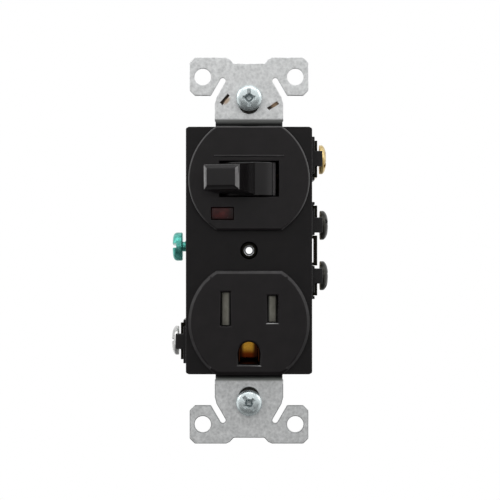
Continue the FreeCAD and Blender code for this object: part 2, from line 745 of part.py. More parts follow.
def cut_cover_openings(body):
    """Openings of the faces, each with a bevelled lead-in where something is pushed in."""
    deep = rimInside
    blade = d.bladeSpacing / 2
    pocket(body, "ToggleOpening", "XZ", faceFront, deep,
           centred(d.slotWide, d.slotTall, up=faceHigh))
    pocket(body, "PilotWindow", "XZ", faceFront, deep,
           centred(d.windowWide, d.windowTall, -d.windowLeft, d.windowHigh))
    pocket(body, "BladeSlots", "XZ", faceFront, deep,
           centred(d.bladeSlotWide, d.neutralSlotTall, -blade, bladeUp),
           centred(d.bladeSlotWide, d.hotSlotTall, blade, bladeUp))
    pocket(body, "GroundHole", "XZ", faceFront, deep, arch(d.groundWide, d.groundTall, groundHigh))
    pocket(body, "CentreHole", "XZ", rimFront, deep, ring(d.centreHole / 2))
    reach = d.groundWide / 2 + NEAR

    def lead_in(edge):
        middle = edge.BoundBox.Center
        if not lies_at(edge, ALONG_Y, faceFront):
            return False
        by_blade = abs(abs(middle.x) - float(blade)) < float(d.bladeSlotWide)
        in_blade = by_blade and abs(middle.z - float(bladeUp)) < float(d.neutralSlotTall)
        by_pin = abs(middle.x) < float(reach)
        in_pin = by_pin and abs(middle.z - float(groundHigh)) < float(d.groundTall)
        return in_blade or in_pin

    round_edges(body, "LeadIns", "Chamfer", d.slotBevel, lead_in)


def arch(wide, tall, up):
    """Draws the ground hole: flat below, a half circle above."""
    def draw(sketch):
        radius = float(wide) / 2
        low = float(up) - float(tall) / 2
        spring = float(up) + float(tall) / 2 - radius
        circle = Part.Circle(Vector(0, spring, 0), Vector(0, 0, 1), radius)
        top = sketch.addGeometry(Part.ArcOfCircle(circle, 0, math.pi))
        left = sketch.addGeometry(Part.LineSegment(Vector(-radius, spring, 0), Vector(-radius, low, 0)))
        floor = sketch.addGeometry(Part.LineSegment(Vector(-radius, low, 0), Vector(radius, low, 0)))
        right = sketch.addGeometry(Part.LineSegment(Vector(radius, low, 0), Vector(radius, spring, 0)))
        sketch.addConstraint(Sketcher.Constraint("Tangent", top, 2, left, 1))
        sketch.addConstraint(Sketcher.Constraint("Tangent", right, 2, top, 1))
        join(sketch, left, 2, floor, 1)
        join(sketch, floor, 2, right, 1)
        hold(sketch, "Radius", top, 0, wide / 2)
        hold(sketch, "DistanceX", top, 3, as_size(0))
        hold(sketch, "DistanceY", top, 3, up + tall / 2 - wide / 2)
        hold(sketch, "DistanceX", floor, 1, -wide / 2)
        hold(sketch, "DistanceX", floor, 2, wide / 2)
        hold(sketch, "DistanceY", floor, 1, up - tall / 2)
        hold(sketch, "DistanceY", floor, 2, up - tall / 2)
    return draw


def add_bearings(body):
    """Two ribs behind the upper face, each with a notch that holds a toggle pin."""
    hole = d.trunnionRadius + d.runGap
    for name, side in (("UpperBearing", 1), ("LowerBearing", -1)):
        near = faceHigh + d.slotTall / 2 * side
        far = near + d.bearingThick * side
        low, high = (near, far) if side > 0 else (far, near)
        pad(body, name, "XY", low, high,
            rectangle(-d.bearingWide / 2, d.bearingWide / 2, faceInside - d.snugGap, d.partingDeep))
        pocket(body, name + "Notch", "XY", low, high,
               rectangle(-hole, hole, d.pivotDeep, d.partingDeep + d.cutPast))
        pocket(body, name + "Seat", "XY", low, high, ring(hole, up=d.pivotDeep))


def add_lamp_ribs(body):
    """Two ribs behind the pilot window that hold the ends of the lamp."""
    inner = d.windowWide / 2 + d.lensLip + d.snugGap
    for name, side in (("LampRibLeft", -1), ("LampRibRight", 1)):
        near = -d.windowLeft + inner * side
        far = near + d.lampRib * side
        left, right = (near, far) if side > 0 else (far, near)
        pad(body, name, "YZ", left, right,
            rectangle(faceInside - d.snugGap, d.lampDeep, d.windowHigh - d.lampRadius - d.lampRib / 2,
                      d.windowHigh + d.lampRadius + d.lampRib / 2))
    left = -d.windowLeft - inner - d.lampRib
    right = -d.windowLeft + inner + d.lampRib
    pocket(body, "LampSeat", "YZ", left, right,
           ring(d.lampRadius + d.runGap, d.lampDeep, d.windowHigh))


def make_base():
    """Moulded tub behind the cover, with terminal pads outside and posts inside."""
    body = new_body("base")
    half_wide = d.baseWide / 2
    half_tall = d.baseTall / 2
    pad(body, "Tub", "XZ", d.partingDeep, d.bodyDeep, centred(d.baseWide, d.baseTall))
    corners = [(half_wide * x, half_tall * z) for x in (1, -1) for z in (1, -1)]
    round_edges(body, "TubCorners", "Fillet", d.baseCorner, standing_at(corners))
    round_edges(body, "TubBack", "Chamfer", d.baseBevel,
                lambda edge: lies_at(edge, ALONG_Y, d.bodyDeep))
    add_terminal_pads(body)
    pocket(body, "Inside", "XZ", d.partingDeep, floorInside,
           centred(cavityHalf * 2, cavityHigh * 2))
    cut_leg_slots(body)
    add_inner_posts(body)
    pocket(body, "FloorHoles", "XZ", d.partingDeep, d.bodyDeep,
           ring(d.rivetRadius + d.runGap, -d.rivetAcross / 2),
           ring(d.rivetRadius + d.runGap, d.rivetAcross / 2),
           ring(d.postRadius + d.runGap),
           ring(d.rivetRadius + d.runGap, up=groundHigh))
    cut_screw_wells(body)
    return body


def add_terminal_pads(body):
    """Pads that back the screw plates, and a rib in front of each screw."""
    front = d.partingDeep
    back = d.partingDeep + d.padDeep
    reach = d.sideWall / 2
    inner = d.baseWide / 2 - reach
    margin = d.padMargin
    finClear = d.finHalf + d.snugGap
    right_pads = [(brassLow - margin, brassHigh + margin),
                  (finClear, d.blackPlateFar + margin),
                  (-d.blackPlateFar - margin, -finClear)]
    left_pads = [(silverLow - margin, silverHigh + margin)]
    pad(body, "RightPads", "XZ", front, back,
        *[rectangle(inner, plateIn, low, high) for low, high in right_pads])
    pad(body, "LeftPads", "XZ", front, back,
        *[rectangle(-plateIn, -inner, low, high) for low, high in left_pads])
    guard_back = d.terminalDeep - d.headRadius - d.wellGap
    half = d.guardTall / 2
    right_screws = (d.brassHigh, d.blackOff, -d.blackOff)
    pad(body, "RightGuards", "XZ", front, guard_back,
        *[rectangle(inner, d.guardOut, high - half, high + half) for high in right_screws])
    pad(body, "LeftGuards", "XZ", front, guard_back,
        rectangle(-d.guardOut, -inner, -d.silverLow - half, -d.silverLow + half))


def cut_leg_slots(body):
    """Slots in the side walls for the legs of the terminal strips, open to the front."""
    back = d.terminalDeep + d.plateDeep / 2 + d.snugGap
    gap = d.snugGap
    thick = d.plateThick
    right_legs = [brassLow, d.blackPlateFar - thick, d.finHalf - thick,
                  -d.finHalf, -d.blackPlateFar]
    pocket(body, "RightLegSlots", "XZ", d.partingDeep, back,
           *[rectangle(cavityHalf - d.cutPast, plateIn + d.cutPast, low - gap, low + thick + gap)
             for low in right_legs])
    pocket(body, "LeftLegSlot", "XZ", d.partingDeep, back,
           rectangle(-plateIn - d.cutPast, d.cutPast - cavityHalf,
                     silverHigh - thick - gap, silverHigh + gap))


def add_inner_posts(body):
    """Posts that close the toggle bearings, carry the shutter tray and hold the centre post."""
    half = d.bearingWide / 2
    near = d.slotTall / 2
    far = near + d.bearingThick
    rooted = floorInside + d.cutPast
    pad(body, "BearingPosts", "XZ", d.partingDeep + d.snugGap, rooted,
        rectangle(-half, half, faceHigh + near, faceHigh + far),
        rectangle(-half, half, faceHigh - far, faceHigh - near))
    tongue = d.trunnionRadius - d.runGap
    pad(body, "BearingTongues", "XZ", d.pivotDeep + d.trunnionRadius + d.snugGap,
        d.partingDeep + d.snugGap * 2,
        rectangle(-tongue, tongue, faceHigh + near, faceHigh + far),
        rectangle(-tongue, tongue, faceHigh - far, faceHigh - near))
    pad(body, "TrayPost", "XZ", trayBack, rooted,
        centred(d.trayPostWide, d.trayPostTall, up=bladeUp))
    pad(body, "CentreBoss", "XZ", d.partingDeep, rooted, ring(d.bossRadius))
    pad(body, "SpringPin", "XZ", floorInside - d.springPinLong, rooted,
        ring(d.springPinRadius, up=faceHigh))


def cut_screw_wells(body):
    """Holes behind the terminal screws, for their shanks."""
    well = d.shankRadius + d.wellGap
    outside = plateIn + d.cutPast
    inside = cavityHalf - d.cutPast
    for name, screws in (("RightWells", (d.brassHigh, d.blackOff, -d.blackOff)),
                         ("LeftWells", (-d.silverLow, d.tabHigh))):
        left, right = (inside, outside) if name == "RightWells" else (-outside, -inside)
        pocket(body, name, "YZ", left, right,
               *[ring(well, d.terminalDeep, high) for high in screws])


def make_toggle():
    """Rocking lever with a round drum, two pins and a tail; modelled upright about its axis."""
    body = new_body("toggle")
    half = d.drumTall / 2
    zero = as_size(0)
    pad(body, "Drum", "XY", -half, half, ring(d.drumRadius))
    reach = d.drumRadius * 2
    side = sine(d.drumHalfAngle) * reach
    front = -cosine(d.drumHalfAngle) * reach
    pocket(body, "DrumBack", "XY", -half, half, outline([
        (zero, zero), (side, front), (side, reach), (-side, reach), (-side, front)]))
    pad(body, "Hub", "XY", -half, half, ring(d.hubRadius))
    pad(body, "Pins", "XY", -half - d.trunnionLong, half + d.trunnionLong, ring(d.trunnionRadius))
    pad(body, "Tail", "XY", -d.leafTall / 2, d.leafTall / 2,
        rectangle(-d.tailWide / 2, d.tailWide / 2, zero, d.tailReach))
    root = sketch_on(body, "LeverRoot", "XZ", -d.drumRadius / 2)
    centred(d.leverRootWide, d.drumTall)(root)
    tip = sketch_on(body, "LeverTip", "XZ", -d.leverReach)
    centred(d.leverTipWide, d.leverTipTall)(tip)
    lever = body.newObject("PartDesign::AdditiveLoft", "Lever")
    lever.Profile = root
    lever.Sections = [(tip, [""])]
    lever.Ruled = True
    round_edges(body, "LeverEdges", "Chamfer", d.leverRound,
                lambda edge: lies_at(edge, ALONG_Y, -d.leverReach))
    place(body, as_size(0), d.pivotDeep, faceHigh, Vector(0, 0, -1), d.toggleThrow)
    return body


def place(thing, across, deep, high, axis=None, angle=None):
    """Puts a sub-part in its place, turned about an axis through its own origin."""
    turn = Rotation()
    if axis is not None:
        turn = Rotation(axis, float(angle))
    thing.Placement = Placement(Vector(float(across), float(deep), float(high)), turn)
    for name, value in (("x", across), ("y", deep), ("z", high)):
        bind(thing, "Placement.Base." + name, value)
    if isinstance(angle, Size):
        bind(thing, "Placement.Rotation.Angle", angle)


def make_coil(name, start, end, radius, wire, turns):
    """A compression spring between two points, its wire swept along a helix."""
    step = end.sub(start)
    helix = Part.makeHelix(step.Length / turns, step.Length, radius)
    corners = []
    for index in range(WIRE_SIDES + 1):
        angle = 2 * math.pi * index / WIRE_SIDES
        corners.append(Vector(radius + wire * math.cos(angle), 0, wire * math.sin(angle)))
    profile = Part.makePolygon(corners)
    coil = Part.Wire(helix).makePipeShell([profile], True, True)
    made = doc.addObject("Part::Feature", name)
    made.Shape = coil
    made.Label = name
    made.Placement = Placement(start, Rotation(Vector(0, 0, 1), step))
    nodes.append(made)
    return made


def make_toggle_spring():
    """Over-centre spring from the pin on the base floor to the tail of the toggle."""
    tail = float(d.tailReach) + float(d.springClear)
    throw = math.radians(float(d.toggleThrow))
    deep = float(d.pivotDeep)
    end = Vector(math.sin(throw) * tail, deep + math.cos(throw) * tail, float(faceHigh))
    rear = float(floorInside - d.springWire - d.springRadius / 2)
    start = Vector(0, rear, float(faceHigh))
    return make_coil("toggle_spring", start, end, float(d.springRadius), float(d.springWire),
                     float(d.springTurns))


def make_shutter_spring():
    """Spring between the two shutters, seated in their holes."""
    half = float(shutterInner) + float(d.shutterBoreDeep) - float(d.springWire) - NEAR
    high = float(bladeUp)
    start = Vector(-half, float(boreDeep), high)
    end = Vector(half, float(boreDeep), high)
    radius = float(d.shutterBore) / 2 - float(d.springWire) - float(d.snugGap)
    return make_coil("shutter_spring", start, end, radius, float(d.springWire), float(d.springTurns))


def make_contact_blade():
    """Springy leaf that the tail of the toggle pushes, with a rolled root."""
    body = new_body("contact_blade")
    low = faceHigh - d.leafTall / 2
    high = faceHigh + d.leafTall / 2
    pad(body, "Leaf", "XZ", d.leafFront, leafPivot, rectangle(leafLeft, leafRight, low, high))
    pad(body, "Curl", "XY", low, high, ring(d.curlRadius, leafMiddle, leafPivot))
    return body


def make_contact_tip(name, start):
    """Round silver contact, flat on its carrier and slightly bevelled."""
    body = new_body(name)
    pad(body, name.title().replace("_", ""), "YZ", start, start + d.tipThick,
        ring(d.tipRadius, d.tipDeep, faceHigh))
    return body


def make_load_terminal():
    """Brass screw plate with an arm that carries the fixed contact tip."""
    body = new_body("switch_load_terminal")
    thick = d.plateThick
    arm = fixedTipBack
    low = faceHigh - d.leafTall / 2
    pad(body, "LoadStrip", "XZ", plateFront, plateBack, outline([
        (d.plateOut, brassLow), (d.plateOut, brassHigh), (plateIn, brassHigh),
        (plateIn, brassLow + thick), (arm, brassLow + thick), (arm, low),
        (arm + thick, low), (arm + thick, brassLow)]))
    thread_plate(body, "LoadThread", 1, [d.brassHigh])
    return body


def thread_plate(body, name, side, screws):
    """Screw holes through the plates on one side."""
    near = plateIn - d.cutPast
    far = d.plateOut + d.cutPast
    left, right = (near, far) if side > 0 else (-far, -near)
    pocket(body, name, "YZ", left, right,
           *[ring(d.shankRadius + d.runGap, d.terminalDeep, high) for high in screws])


def make_hot_strip():
    """Strip along the right wall with both black screw plates, joined by the break-off fin."""
    body = new_body("hot_terminal_strip")
    thick = d.plateThick
    far = d.blackPlateFar
    near = d.blackPlateNear
    fin = d.finHalf
    low = bladeUp - d.contactTall / 2
    link = faceHigh - d.leafTall / 2 - d.cutPast
    high = faceHigh + d.leafTall / 2
    pad(body, "HotStrip", "XZ", plateFront, plateBack, outline([
        (stripIn, low), (stripOut, low), (stripOut, -far), (d.plateOut, -far),
        (d.plateOut, -near), (plateIn, -near), (plateIn, -far + thick), (stripOut, -far + thick),
        (stripOut, -fin), (d.plateOut, -fin), (d.plateOut, fin), (stripOut, fin),
        (stripOut, far - thick), (plateIn, far - thick), (plateIn, near), (d.plateOut, near),
        (d.plateOut, far), (stripOut, far), (stripOut, link), (stripIn, link)]),
        rectangle(stripOut, plateIn, thick - fin, fin - thick))
    thread_plate(body, "HotThreads", 1, [d.blackOff, -d.blackOff])
    back = leafPivot + d.plateThick / 2
    behind = plateBack + d.cutPast
    foot = link - d.cutPast * 2
    armLow = link + d.cutPast
    pad(body, "Riser", "YZ", stripIn, stripOut, outline([
        (plateFront, foot), (back, foot), (back, high), (behind, high),
        (behind, link), (plateFront, link)]))
    pad(body, "Arm", "XZ", back - thick, back, rectangle(leafMiddle, stripOut, armLow, high))
    pocket(body, "LeafSeat", "XY", armLow, high,
           ring(d.curlRadius + d.runGap, leafMiddle, leafPivot))
    return body


def make_blade_contact(name, side):
    """Receptacle contact: two leaves that grip a blade, and a tab to the terminal strip."""
    body = new_body(name)
    middle = d.bladeSpacing / 2 * side
    inner = d.bladeThick / 2
    outer = inner + d.contactThick
    bottom = d.contactBack - d.contactThick
    tab = stripIn * side
    low = bladeUp - d.contactTall / 2
    high = bladeUp + d.contactTall / 2
    pad(body, name.title().replace("_", ""), "XY", low, high, outline([
        (middle - outer * side, d.contactFront), (middle - inner * side, d.contactFront),
        (middle - inner * side, bottom), (middle + inner * side, bottom),
        (middle + inner * side, d.contactFront), (middle + outer * side, d.contactFront),
        (middle + outer * side, bottom), (tab, bottom), (tab, d.contactBack),
        (middle - outer * side, d.contactBack)]))
    return body


def make_neutral_strip():
    """Silver screw plate on the left, with a strip along the wall to the neutral contact."""
    body = new_body("neutral_terminal_strip")
    thick = d.plateThick
    low = bladeUp + d.contactTall / 2
    pad(body, "NeutralStrip", "XZ", plateFront, plateBack, outline([
        (-d.plateOut, silverLow), (-plateIn, silverLow), (-plateIn, silverHigh - thick),
        (-stripIn, silverHigh - thick), (-stripIn, low), (-stripOut, low),
        (-stripOut, silverHigh), (-d.plateOut, silverHigh)]))
    thread_plate(body, "NeutralThread", -1, [-d.silverLow])
    return body


def make_ground_contact():
    """Two leaves that grip the ground pin, with a stop behind it, riveted to the strap."""
    body = new_body("ground_contact")
    inner = d.pinRoom / 2
    outer = inner + d.contactThick
    bottom = floorInside - d.contactThick
    pad(body, "GroundContact", "XY", groundHigh - d.groundContactTall / 2,
        groundHigh + d.groundContactTall / 2, outline([
            (-outer, d.contactFront), (-inner, d.contactFront), (-inner, bottom), (inner, bottom),
            (inner, d.contactFront), (outer, d.contactFront), (outer, floorInside),
            (-outer, floorInside)]))
    pad(body, "PinStop", "XZ", d.pinStop, d.pinStop + d.contactThick,
        rectangle(-inner - d.contactThick / 2, inner - d.snugGap,
                  groundHigh - d.pinStopTall / 2, groundHigh + d.pinStopTall / 2))
    pocket(body, "GroundRivetHole", "XZ", bottom - d.cutPast, floorInside,
           ring(d.rivetRadius + d.runGap, up=groundHigh))
    return body


def make_shutter(name, side):
    """Shutter block with a ramp for the blade and a hole for the spring."""
    body = new_body(name)
    outer = d.bladeSpacing / 2 + d.shutterWide / 2
    front = faceInside + d.snugGap
    back = front + d.shutterThick
    land = shutterInner + d.shutterLand
    pad(body, name.title().replace("_", ""), "XY", bladeUp - d.shutterTall / 2,
        bladeUp + d.shutterTall / 2, outline([
            (outer * side, front + d.shutterRamp), (outer * side, back),
            (shutterInner * side, back), (shutterInner * side, front), (land * side, front)]))
    hole_end = (shutterInner + d.shutterBoreDeep) * side
    mouth = shutterInner * side
    left, right = (mouth, hole_end) if side > 0 else (hole_end, mouth)
    pocket(body, name.title().replace("_", "") + "Bore", "YZ", left, right,
           ring(d.shutterBore / 2, boreDeep, bladeUp))
    return body


def make_tray():
    """Plate behind the shutters, with two rails they slide between."""
    body = new_body("shutter_tray")
    half = d.trayWide / 2
    inner = d.shutterTall / 2 + d.snugGap
    outer = inner + d.trayRail
    gap = d.snugGap
    blade = d.bladeSpacing / 2
    pad(body, "TrayPlate", "XZ", trayFront, trayBack, centred(d.trayWide, outer * 2, up=bladeUp))
    pad(body, "TrayRails", "XZ", faceInside + gap, trayFront + gap,
        rectangle(-half, half, bladeUp + inner, bladeUp + outer),
        rectangle(-half, half, bladeUp - outer, bladeUp - inner))
    pocket(body, "TraySlots", "XZ", trayFront, trayBack,
           centred(d.bladeSlotWide, d.neutralSlotTall, -blade, bladeUp),
           centred(d.bladeSlotWide, d.hotSlotTall, blade, bladeUp))
    return body


def make_lens():
    """Red lens: a nose in the window and a flange behind it."""
    body = new_body("pilot_lens")
    gap = d.snugGap
    pad(body, "LensFlange", "XZ", faceInside, faceInside + d.lensFlange,
        centred(windowRoomWide, windowRoomTall, -d.windowLeft, d.windowHigh))
    pad(body, "LensNose", "XZ", faceFront + d.lensSunk, faceInside,
        centred(d.windowWide - gap, d.windowTall - gap, -d.windowLeft, d.windowHigh))
    return body


def make_lamp():
    """Small glass lamp behind the lens, round at both ends."""
    body = new_body("neon_lamp")
    half = d.lampLong / 2
    round_part = d.lampRadius / 2
    zero = as_size(0)
    turned(body, "LampGlass", [(zero, -half), (round_part, -half), (d.lampRadius, round_part - half),
                               (d.lampRadius, half - round_part), (round_part, half), (zero, half)])
    place(body, -d.windowLeft, d.lampDeep, d.windowHigh, Vector(0, 0, 1), 90)
    return body


def make_resistor():
    """Small resistor behind the lamp, with thicker end caps."""
    body = new_body("resistor")
    half = d.resistorLong / 2
    cap = half - d.resistorRadius
    thin = d.resistorNeck
    zero = as_size(0)
    turned(body, "ResistorBody", [
        (zero, -half), (d.resistorRadius, -half), (d.resistorRadius, -cap), (thin, -cap),
        (thin, cap), (d.resistorRadius, cap), (d.resistorRadius, half), (zero, half)])
    deep = d.lampDeep + d.lampRadius + d.resistorRadius + d.runGap
    place(body, -d.windowLeft, deep, d.windowHigh, Vector(0, 0, 1), 90)
    return body


def make_terminal_screw(name, side, high):
    """Binding-head screw: a flat rim, a low dome with a slot and a cross, and its shank."""
    body = new_body(name)
    top = -d.headRim - d.headDome
    zero = as_size(0)
    turned(body, "Turning", [
        (zero, top), (d.domeFlat, top),
        (d.headRadius, -d.headRim), (d.headRadius, zero), (d.shankRadius, zero),
        (d.shankRadius, d.shankLong), (zero, d.shankLong)])
    cut_drive(body, top, d.headRadius * 2)
    place(body, (d.plateOut + d.headGap) * side, d.terminalDeep, high, Vector(0, 0, side), 90)
    return body


def cut_drive(body, top, long):
    """Driver recess: a slot across the head and a shorter one across it."""
    pocket(body, "DriveSlot", "XZ", top, top + d.driveDeep, centred(d.driveSlot, long))
    pocket(body, "DriveCross", "XZ", top, top + d.driveDeep, centred(long / 2, d.driveSlot))


def make_green_screw():
    """Ground screw with a rounded slotted head."""
    body = new_body("green_screw")
    top = -d.greenHigh
    zero = as_size(0)
    turned(body, "Turning", [
        (zero, top), (d.greenRadius - d.greenBevel, top), (d.greenRadius, top + d.greenBevel),
        (d.greenRadius, zero), (d.shankRadius, zero), (d.shankRadius, d.shankLong),
        (zero, d.shankLong)])
    pocket(body, "DriveSlot", "XZ", top, top + d.driveDeep,
           centred(d.driveSlot, d.greenRadius * 2 + d.cutPast))
    across = -d.baseWide / 2 - d.strapThick - d.greenGap
    place(body, across, d.terminalDeep, d.tabHigh, Vector(0, 0, -1), 90)
    return body


def make_mounting_screw(name, side):
    """Mounting screw with an oval head, standing proud of its ear."""
    body = new_body(name)
    top = -d.mountHeadHigh
    zero = as_size(0)
    turned(body, "Turning", [
        (zero, top), (d.mountFlat, top), (d.mountShoulder, top + d.mountSlope),
        (d.mountHead, -d.mountEdge), (d.mountHead, zero), (d.mountNeck, zero),
        (d.mountNeck, d.neckLong), (d.shankRadius, d.neckLong), (d.shankRadius, d.mountLong),
        (zero, d.mountLong)])
    cut_drive(body, top, d.mountHead)
    place(body, as_size(0), earFront - d.mountRaise, mountHigh * side)
    return body


def make_washer(name, side):
    """Fibre washer that keeps a mounting screw in its slot."""
    body = new_body(name)
    pad(body, "Disc", "XZ", as_size(0), d.washerThick,
        ring(d.washerRadius, up=mountHigh * side),
        ring(d.shankRadius + d.runGap, up=mountHigh * side))
    return body


def make_centre_post():
    """Post threaded right through for the wall plate screw, riveted to the base and the strap."""
    body = new_body("centre_post")
    front = rimFront + d.postSunk
    back = strapBack + d.rivetHeadHigh
    turned(body, "Post", [
        (d.postBore, front), (d.postRadius, front), (d.postRadius, strapBack),
        (d.postRadius + d.rivetHeadHigh, strapBack), (d.postRadius + d.rivetHeadHigh, back),
        (d.postBore, back)])
    return body


def make_rivet(name, across, high, inside):
    """Rivet with one head inside the base and one behind the strap."""
    body = new_body(name)
    head = d.rivetHead
    tall = d.rivetHeadHigh
    zero = as_size(0)
    turned(body, "Rivet", [
        (zero, inside - tall), (head, inside - tall), (head, inside), (d.rivetRadius, inside),
        (d.rivetRadius, strapBack), (head, strapBack), (head, strapBack + tall),
        (zero, strapBack + tall)])
    place(body, across, as_size(0), high)
    return body


def make_all():
    make_strap()
    make_cover()
    make_base()
    make_toggle()
    make_toggle_spring()
    make_contact_blade()
    make_contact_tip("moving_contact_tip", leafRight)
    make_contact_tip("fixed_contact_tip", fixedTipBack - d.tipThick)
    make_load_terminal()
    make_hot_strip()
    make_neutral_strip()
    make_blade_contact("hot_contact", 1)
    make_blade_contact("neutral_contact", -1)
    make_ground_contact()
    make_shutter("shutter_left", -1)
    make_shutter("shutter_right", 1)
    make_shutter_spring()
    make_tray()
    make_lens()
    make_lamp()
    make_resistor()
    make_terminal_screw("brass_screw", 1, d.brassHigh)
    make_terminal_screw("black_screw_upper", 1, d.blackOff)
    make_terminal_screw("black_screw_lower", 1, -d.blackOff)
    make_terminal_screw("silver_screw", -1, -d.silverLow)
    make_green_screw()
    make_mounting_screw("mounting_screw_top", 1)
    make_mounting_screw("mounting_screw_bottom", -1)
    make_washer("retaining_washer_top", 1)
    make_washer("retaining_washer_bottom", -1)
    make_centre_post()
    make_rivet("rivet_left", -d.rivetAcross / 2, as_size(0), floorInside)
    make_rivet("rivet_right", d.rivetAcross / 2, as_size(0), floorInside)
    make_rivet("ground_rivet", as_size(0), groundHigh, floorInside - d.contactThick)


def check_all():
    """Stops if any object failed or any sub-part is empty, broken or in pieces."""
    doc.recompute()
    for thing in doc.Objects:
        if "Invalid" in thing.State or "Error" in thing.State:
            raise RuntimeError("%s failed: %s" % (thing.Name, thing.State))
    for node in nodes:
        shape = node.Shape
        if shape.isNull() or not shape.isValid() or len(shape.Solids) != 1:
            raise RuntimeError("%s is not one sound solid" % node.Label)


def write_parts():
    os.makedirs(PARTS_FOLDER, exist_ok=True)
    for node in nodes:
        node.Shape.exportStep("%s/%s.step" % (PARTS_FOLDER, node.Label))
    print("%d sub-parts written" % len(nodes))


make_all()
check_all()
write_parts()
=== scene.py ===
import math

import bpy
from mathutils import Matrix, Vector


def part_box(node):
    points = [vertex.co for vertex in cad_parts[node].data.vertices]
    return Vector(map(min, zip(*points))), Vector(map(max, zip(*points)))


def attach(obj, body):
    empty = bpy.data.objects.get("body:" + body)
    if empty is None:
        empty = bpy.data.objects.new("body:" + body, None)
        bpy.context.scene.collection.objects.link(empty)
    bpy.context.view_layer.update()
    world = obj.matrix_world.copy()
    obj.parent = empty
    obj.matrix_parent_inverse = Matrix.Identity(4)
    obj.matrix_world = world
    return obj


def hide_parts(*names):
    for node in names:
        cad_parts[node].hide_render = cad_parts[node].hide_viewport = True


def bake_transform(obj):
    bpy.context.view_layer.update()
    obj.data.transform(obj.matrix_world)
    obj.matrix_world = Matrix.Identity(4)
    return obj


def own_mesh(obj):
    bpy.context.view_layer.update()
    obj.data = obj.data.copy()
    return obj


# Switch and socket combination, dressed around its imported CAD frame.
# Blender metres, faces towards -Y, +Z up, origin between the two mounting screws.
# The dictionaries hold millimetres, and metres for the lamps, the floor and the camera.

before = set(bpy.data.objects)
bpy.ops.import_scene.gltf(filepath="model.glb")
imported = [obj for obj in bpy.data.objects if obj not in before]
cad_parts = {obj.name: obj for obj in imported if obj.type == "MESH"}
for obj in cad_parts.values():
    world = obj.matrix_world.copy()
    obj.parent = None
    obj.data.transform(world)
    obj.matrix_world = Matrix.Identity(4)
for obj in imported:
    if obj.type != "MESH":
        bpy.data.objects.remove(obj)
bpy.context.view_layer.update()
mm = 0.001
print("frame loaded")


# Small helpers

def deselectAll():
    bpy.ops.object.select_all(action="DESELECT")


def makeActive(piece):
    deselectAll()
    piece.select_set(True)
    bpy.context.view_layer.objects.active = piece


def editAll(piece):
    # edit mode with the whole mesh selected
    makeActive(piece)
    bpy.ops.object.mode_set(mode="EDIT")
    bpy.ops.mesh.select_all(action="SELECT")


def leaveEdit():
    bpy.ops.object.mode_set(mode="OBJECT")


def applyModifiers(piece):
    makeActive(piece)
    for modifier in list(piece.modifiers):
        bpy.ops.object.modifier_apply(modifier=modifier.name)


def settle(piece):
    # a finished piece sits at the origin, its place in its mesh
    makeActive(piece)
    bpy.ops.object.transform_apply(location=True, rotation=True, scale=True)


def smoothByAngle(piece, degrees):
    makeActive(piece)
    bpy.ops.object.shade_smooth_by_angle(angle=math.radians(degrees))


def within(value, limits):
    return limits[0] < value < limits[1]


def clamped(value):
    return min(max(value, 0.0), 1.0)


def copyNode(node, name):
    # a merged copy of a CAD node's mesh, its flat faces joined up again
    look = dict(merge=0.002, flat=0.4)
    piece = bpy.data.objects.new(name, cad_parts[node].data.copy())
    bpy.context.scene.collection.objects.link(piece)
    piece.data.materials.clear()
    editAll(piece)
    bpy.ops.mesh.remove_doubles(threshold=look["merge"] * mm)
    bpy.ops.mesh.dissolve_limited(angle_limit=math.radians(look["flat"]))
    leaveEdit()
    bpy.ops.mesh.customdata_custom_splitnormals_clear()
    return piece


def flattenShading(piece):
    # keeps the big faces flat in the light and lets only the small roundings turn
    smoothByAngle(piece, degrees=40)
    weighted = piece.modifiers.new("flat", "WEIGHTED_NORMAL")
    weighted.keep_sharp = True
    weighted.weight = 100
    split = piece.modifiers.new("split", "TRIANGULATE")
    split.keep_custom_normals = True
    applyModifiers(piece)


def softenEdges(piece, width, angle=35):
    # rounds every sharp edge a little, as tooling and plating do
    bevel = piece.modifiers.new("edges", "BEVEL")
    bevel.width = width * mm
    bevel.segments = 2
    bevel.limit_method = "ANGLE"
    bevel.angle_limit = math.radians(angle)
    bevel.use_clamp_overlap = False
    bevel.loop_slide = False
    applyModifiers(piece)
    flattenShading(piece)


def levelFlats(piece, straight=0.9995):
    # the faces that look straight forward or back keep one normal all over
    mesh = piece.data
    normals = [corner.vector.copy() for corner in mesh.corner_normals]
    for face in mesh.polygons:
        if abs(face.normal.y) > straight:
            for corner in face.loop_indices:
                normals[corner] = face.normal.copy()
    mesh.normals_split_custom_set(normals)


def dress(piece, material, body, node):
    piece.data.materials.clear()
    piece.data.materials.append(material)
    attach(piece, body)
    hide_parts(node)


def refinish(piece, material, chosen):
    # gives the faces that are chosen by centre, in millimetres, and normal another finish
    piece.data.materials.append(material)
    last = len(piece.data.materials) - 1
    for face in piece.data.polygons:
        if chosen(face.center / mm, face.normal):
            face.material_index = last


# Materials

def newMaterial(name):
    material = bpy.data.materials.new(name)
    material.use_nodes = True
    tree = material.node_tree
    shader = tree.nodes["Principled BSDF"]
    return material, tree, shader


def addNode(tree, kind, **values):
    node = tree.nodes.new(kind)
    for key, value in values.items():
        if key in node.inputs:
            node.inputs[key].default_value = value
        else:
            setattr(node, key, value)
    return node


def objectPattern(tree, kind, scale, stretch=(1, 1, 1), **values):
    # a procedural texture on Object coordinates, scale in repeats per metre
    place = addNode(tree, "ShaderNodeTexCoord")
    mapping = addNode(tree, "ShaderNodeMapping")
    mapping.inputs["Scale"].default_value = stretch
    pattern = addNode(tree, kind, **values)
    pattern.inputs["Scale"].default_value = scale
    tree.links.new(place.outputs["Object"], mapping.inputs["Vector"])
    tree.links.new(mapping.outputs["Vector"], pattern.inputs["Vector"])
    return pattern


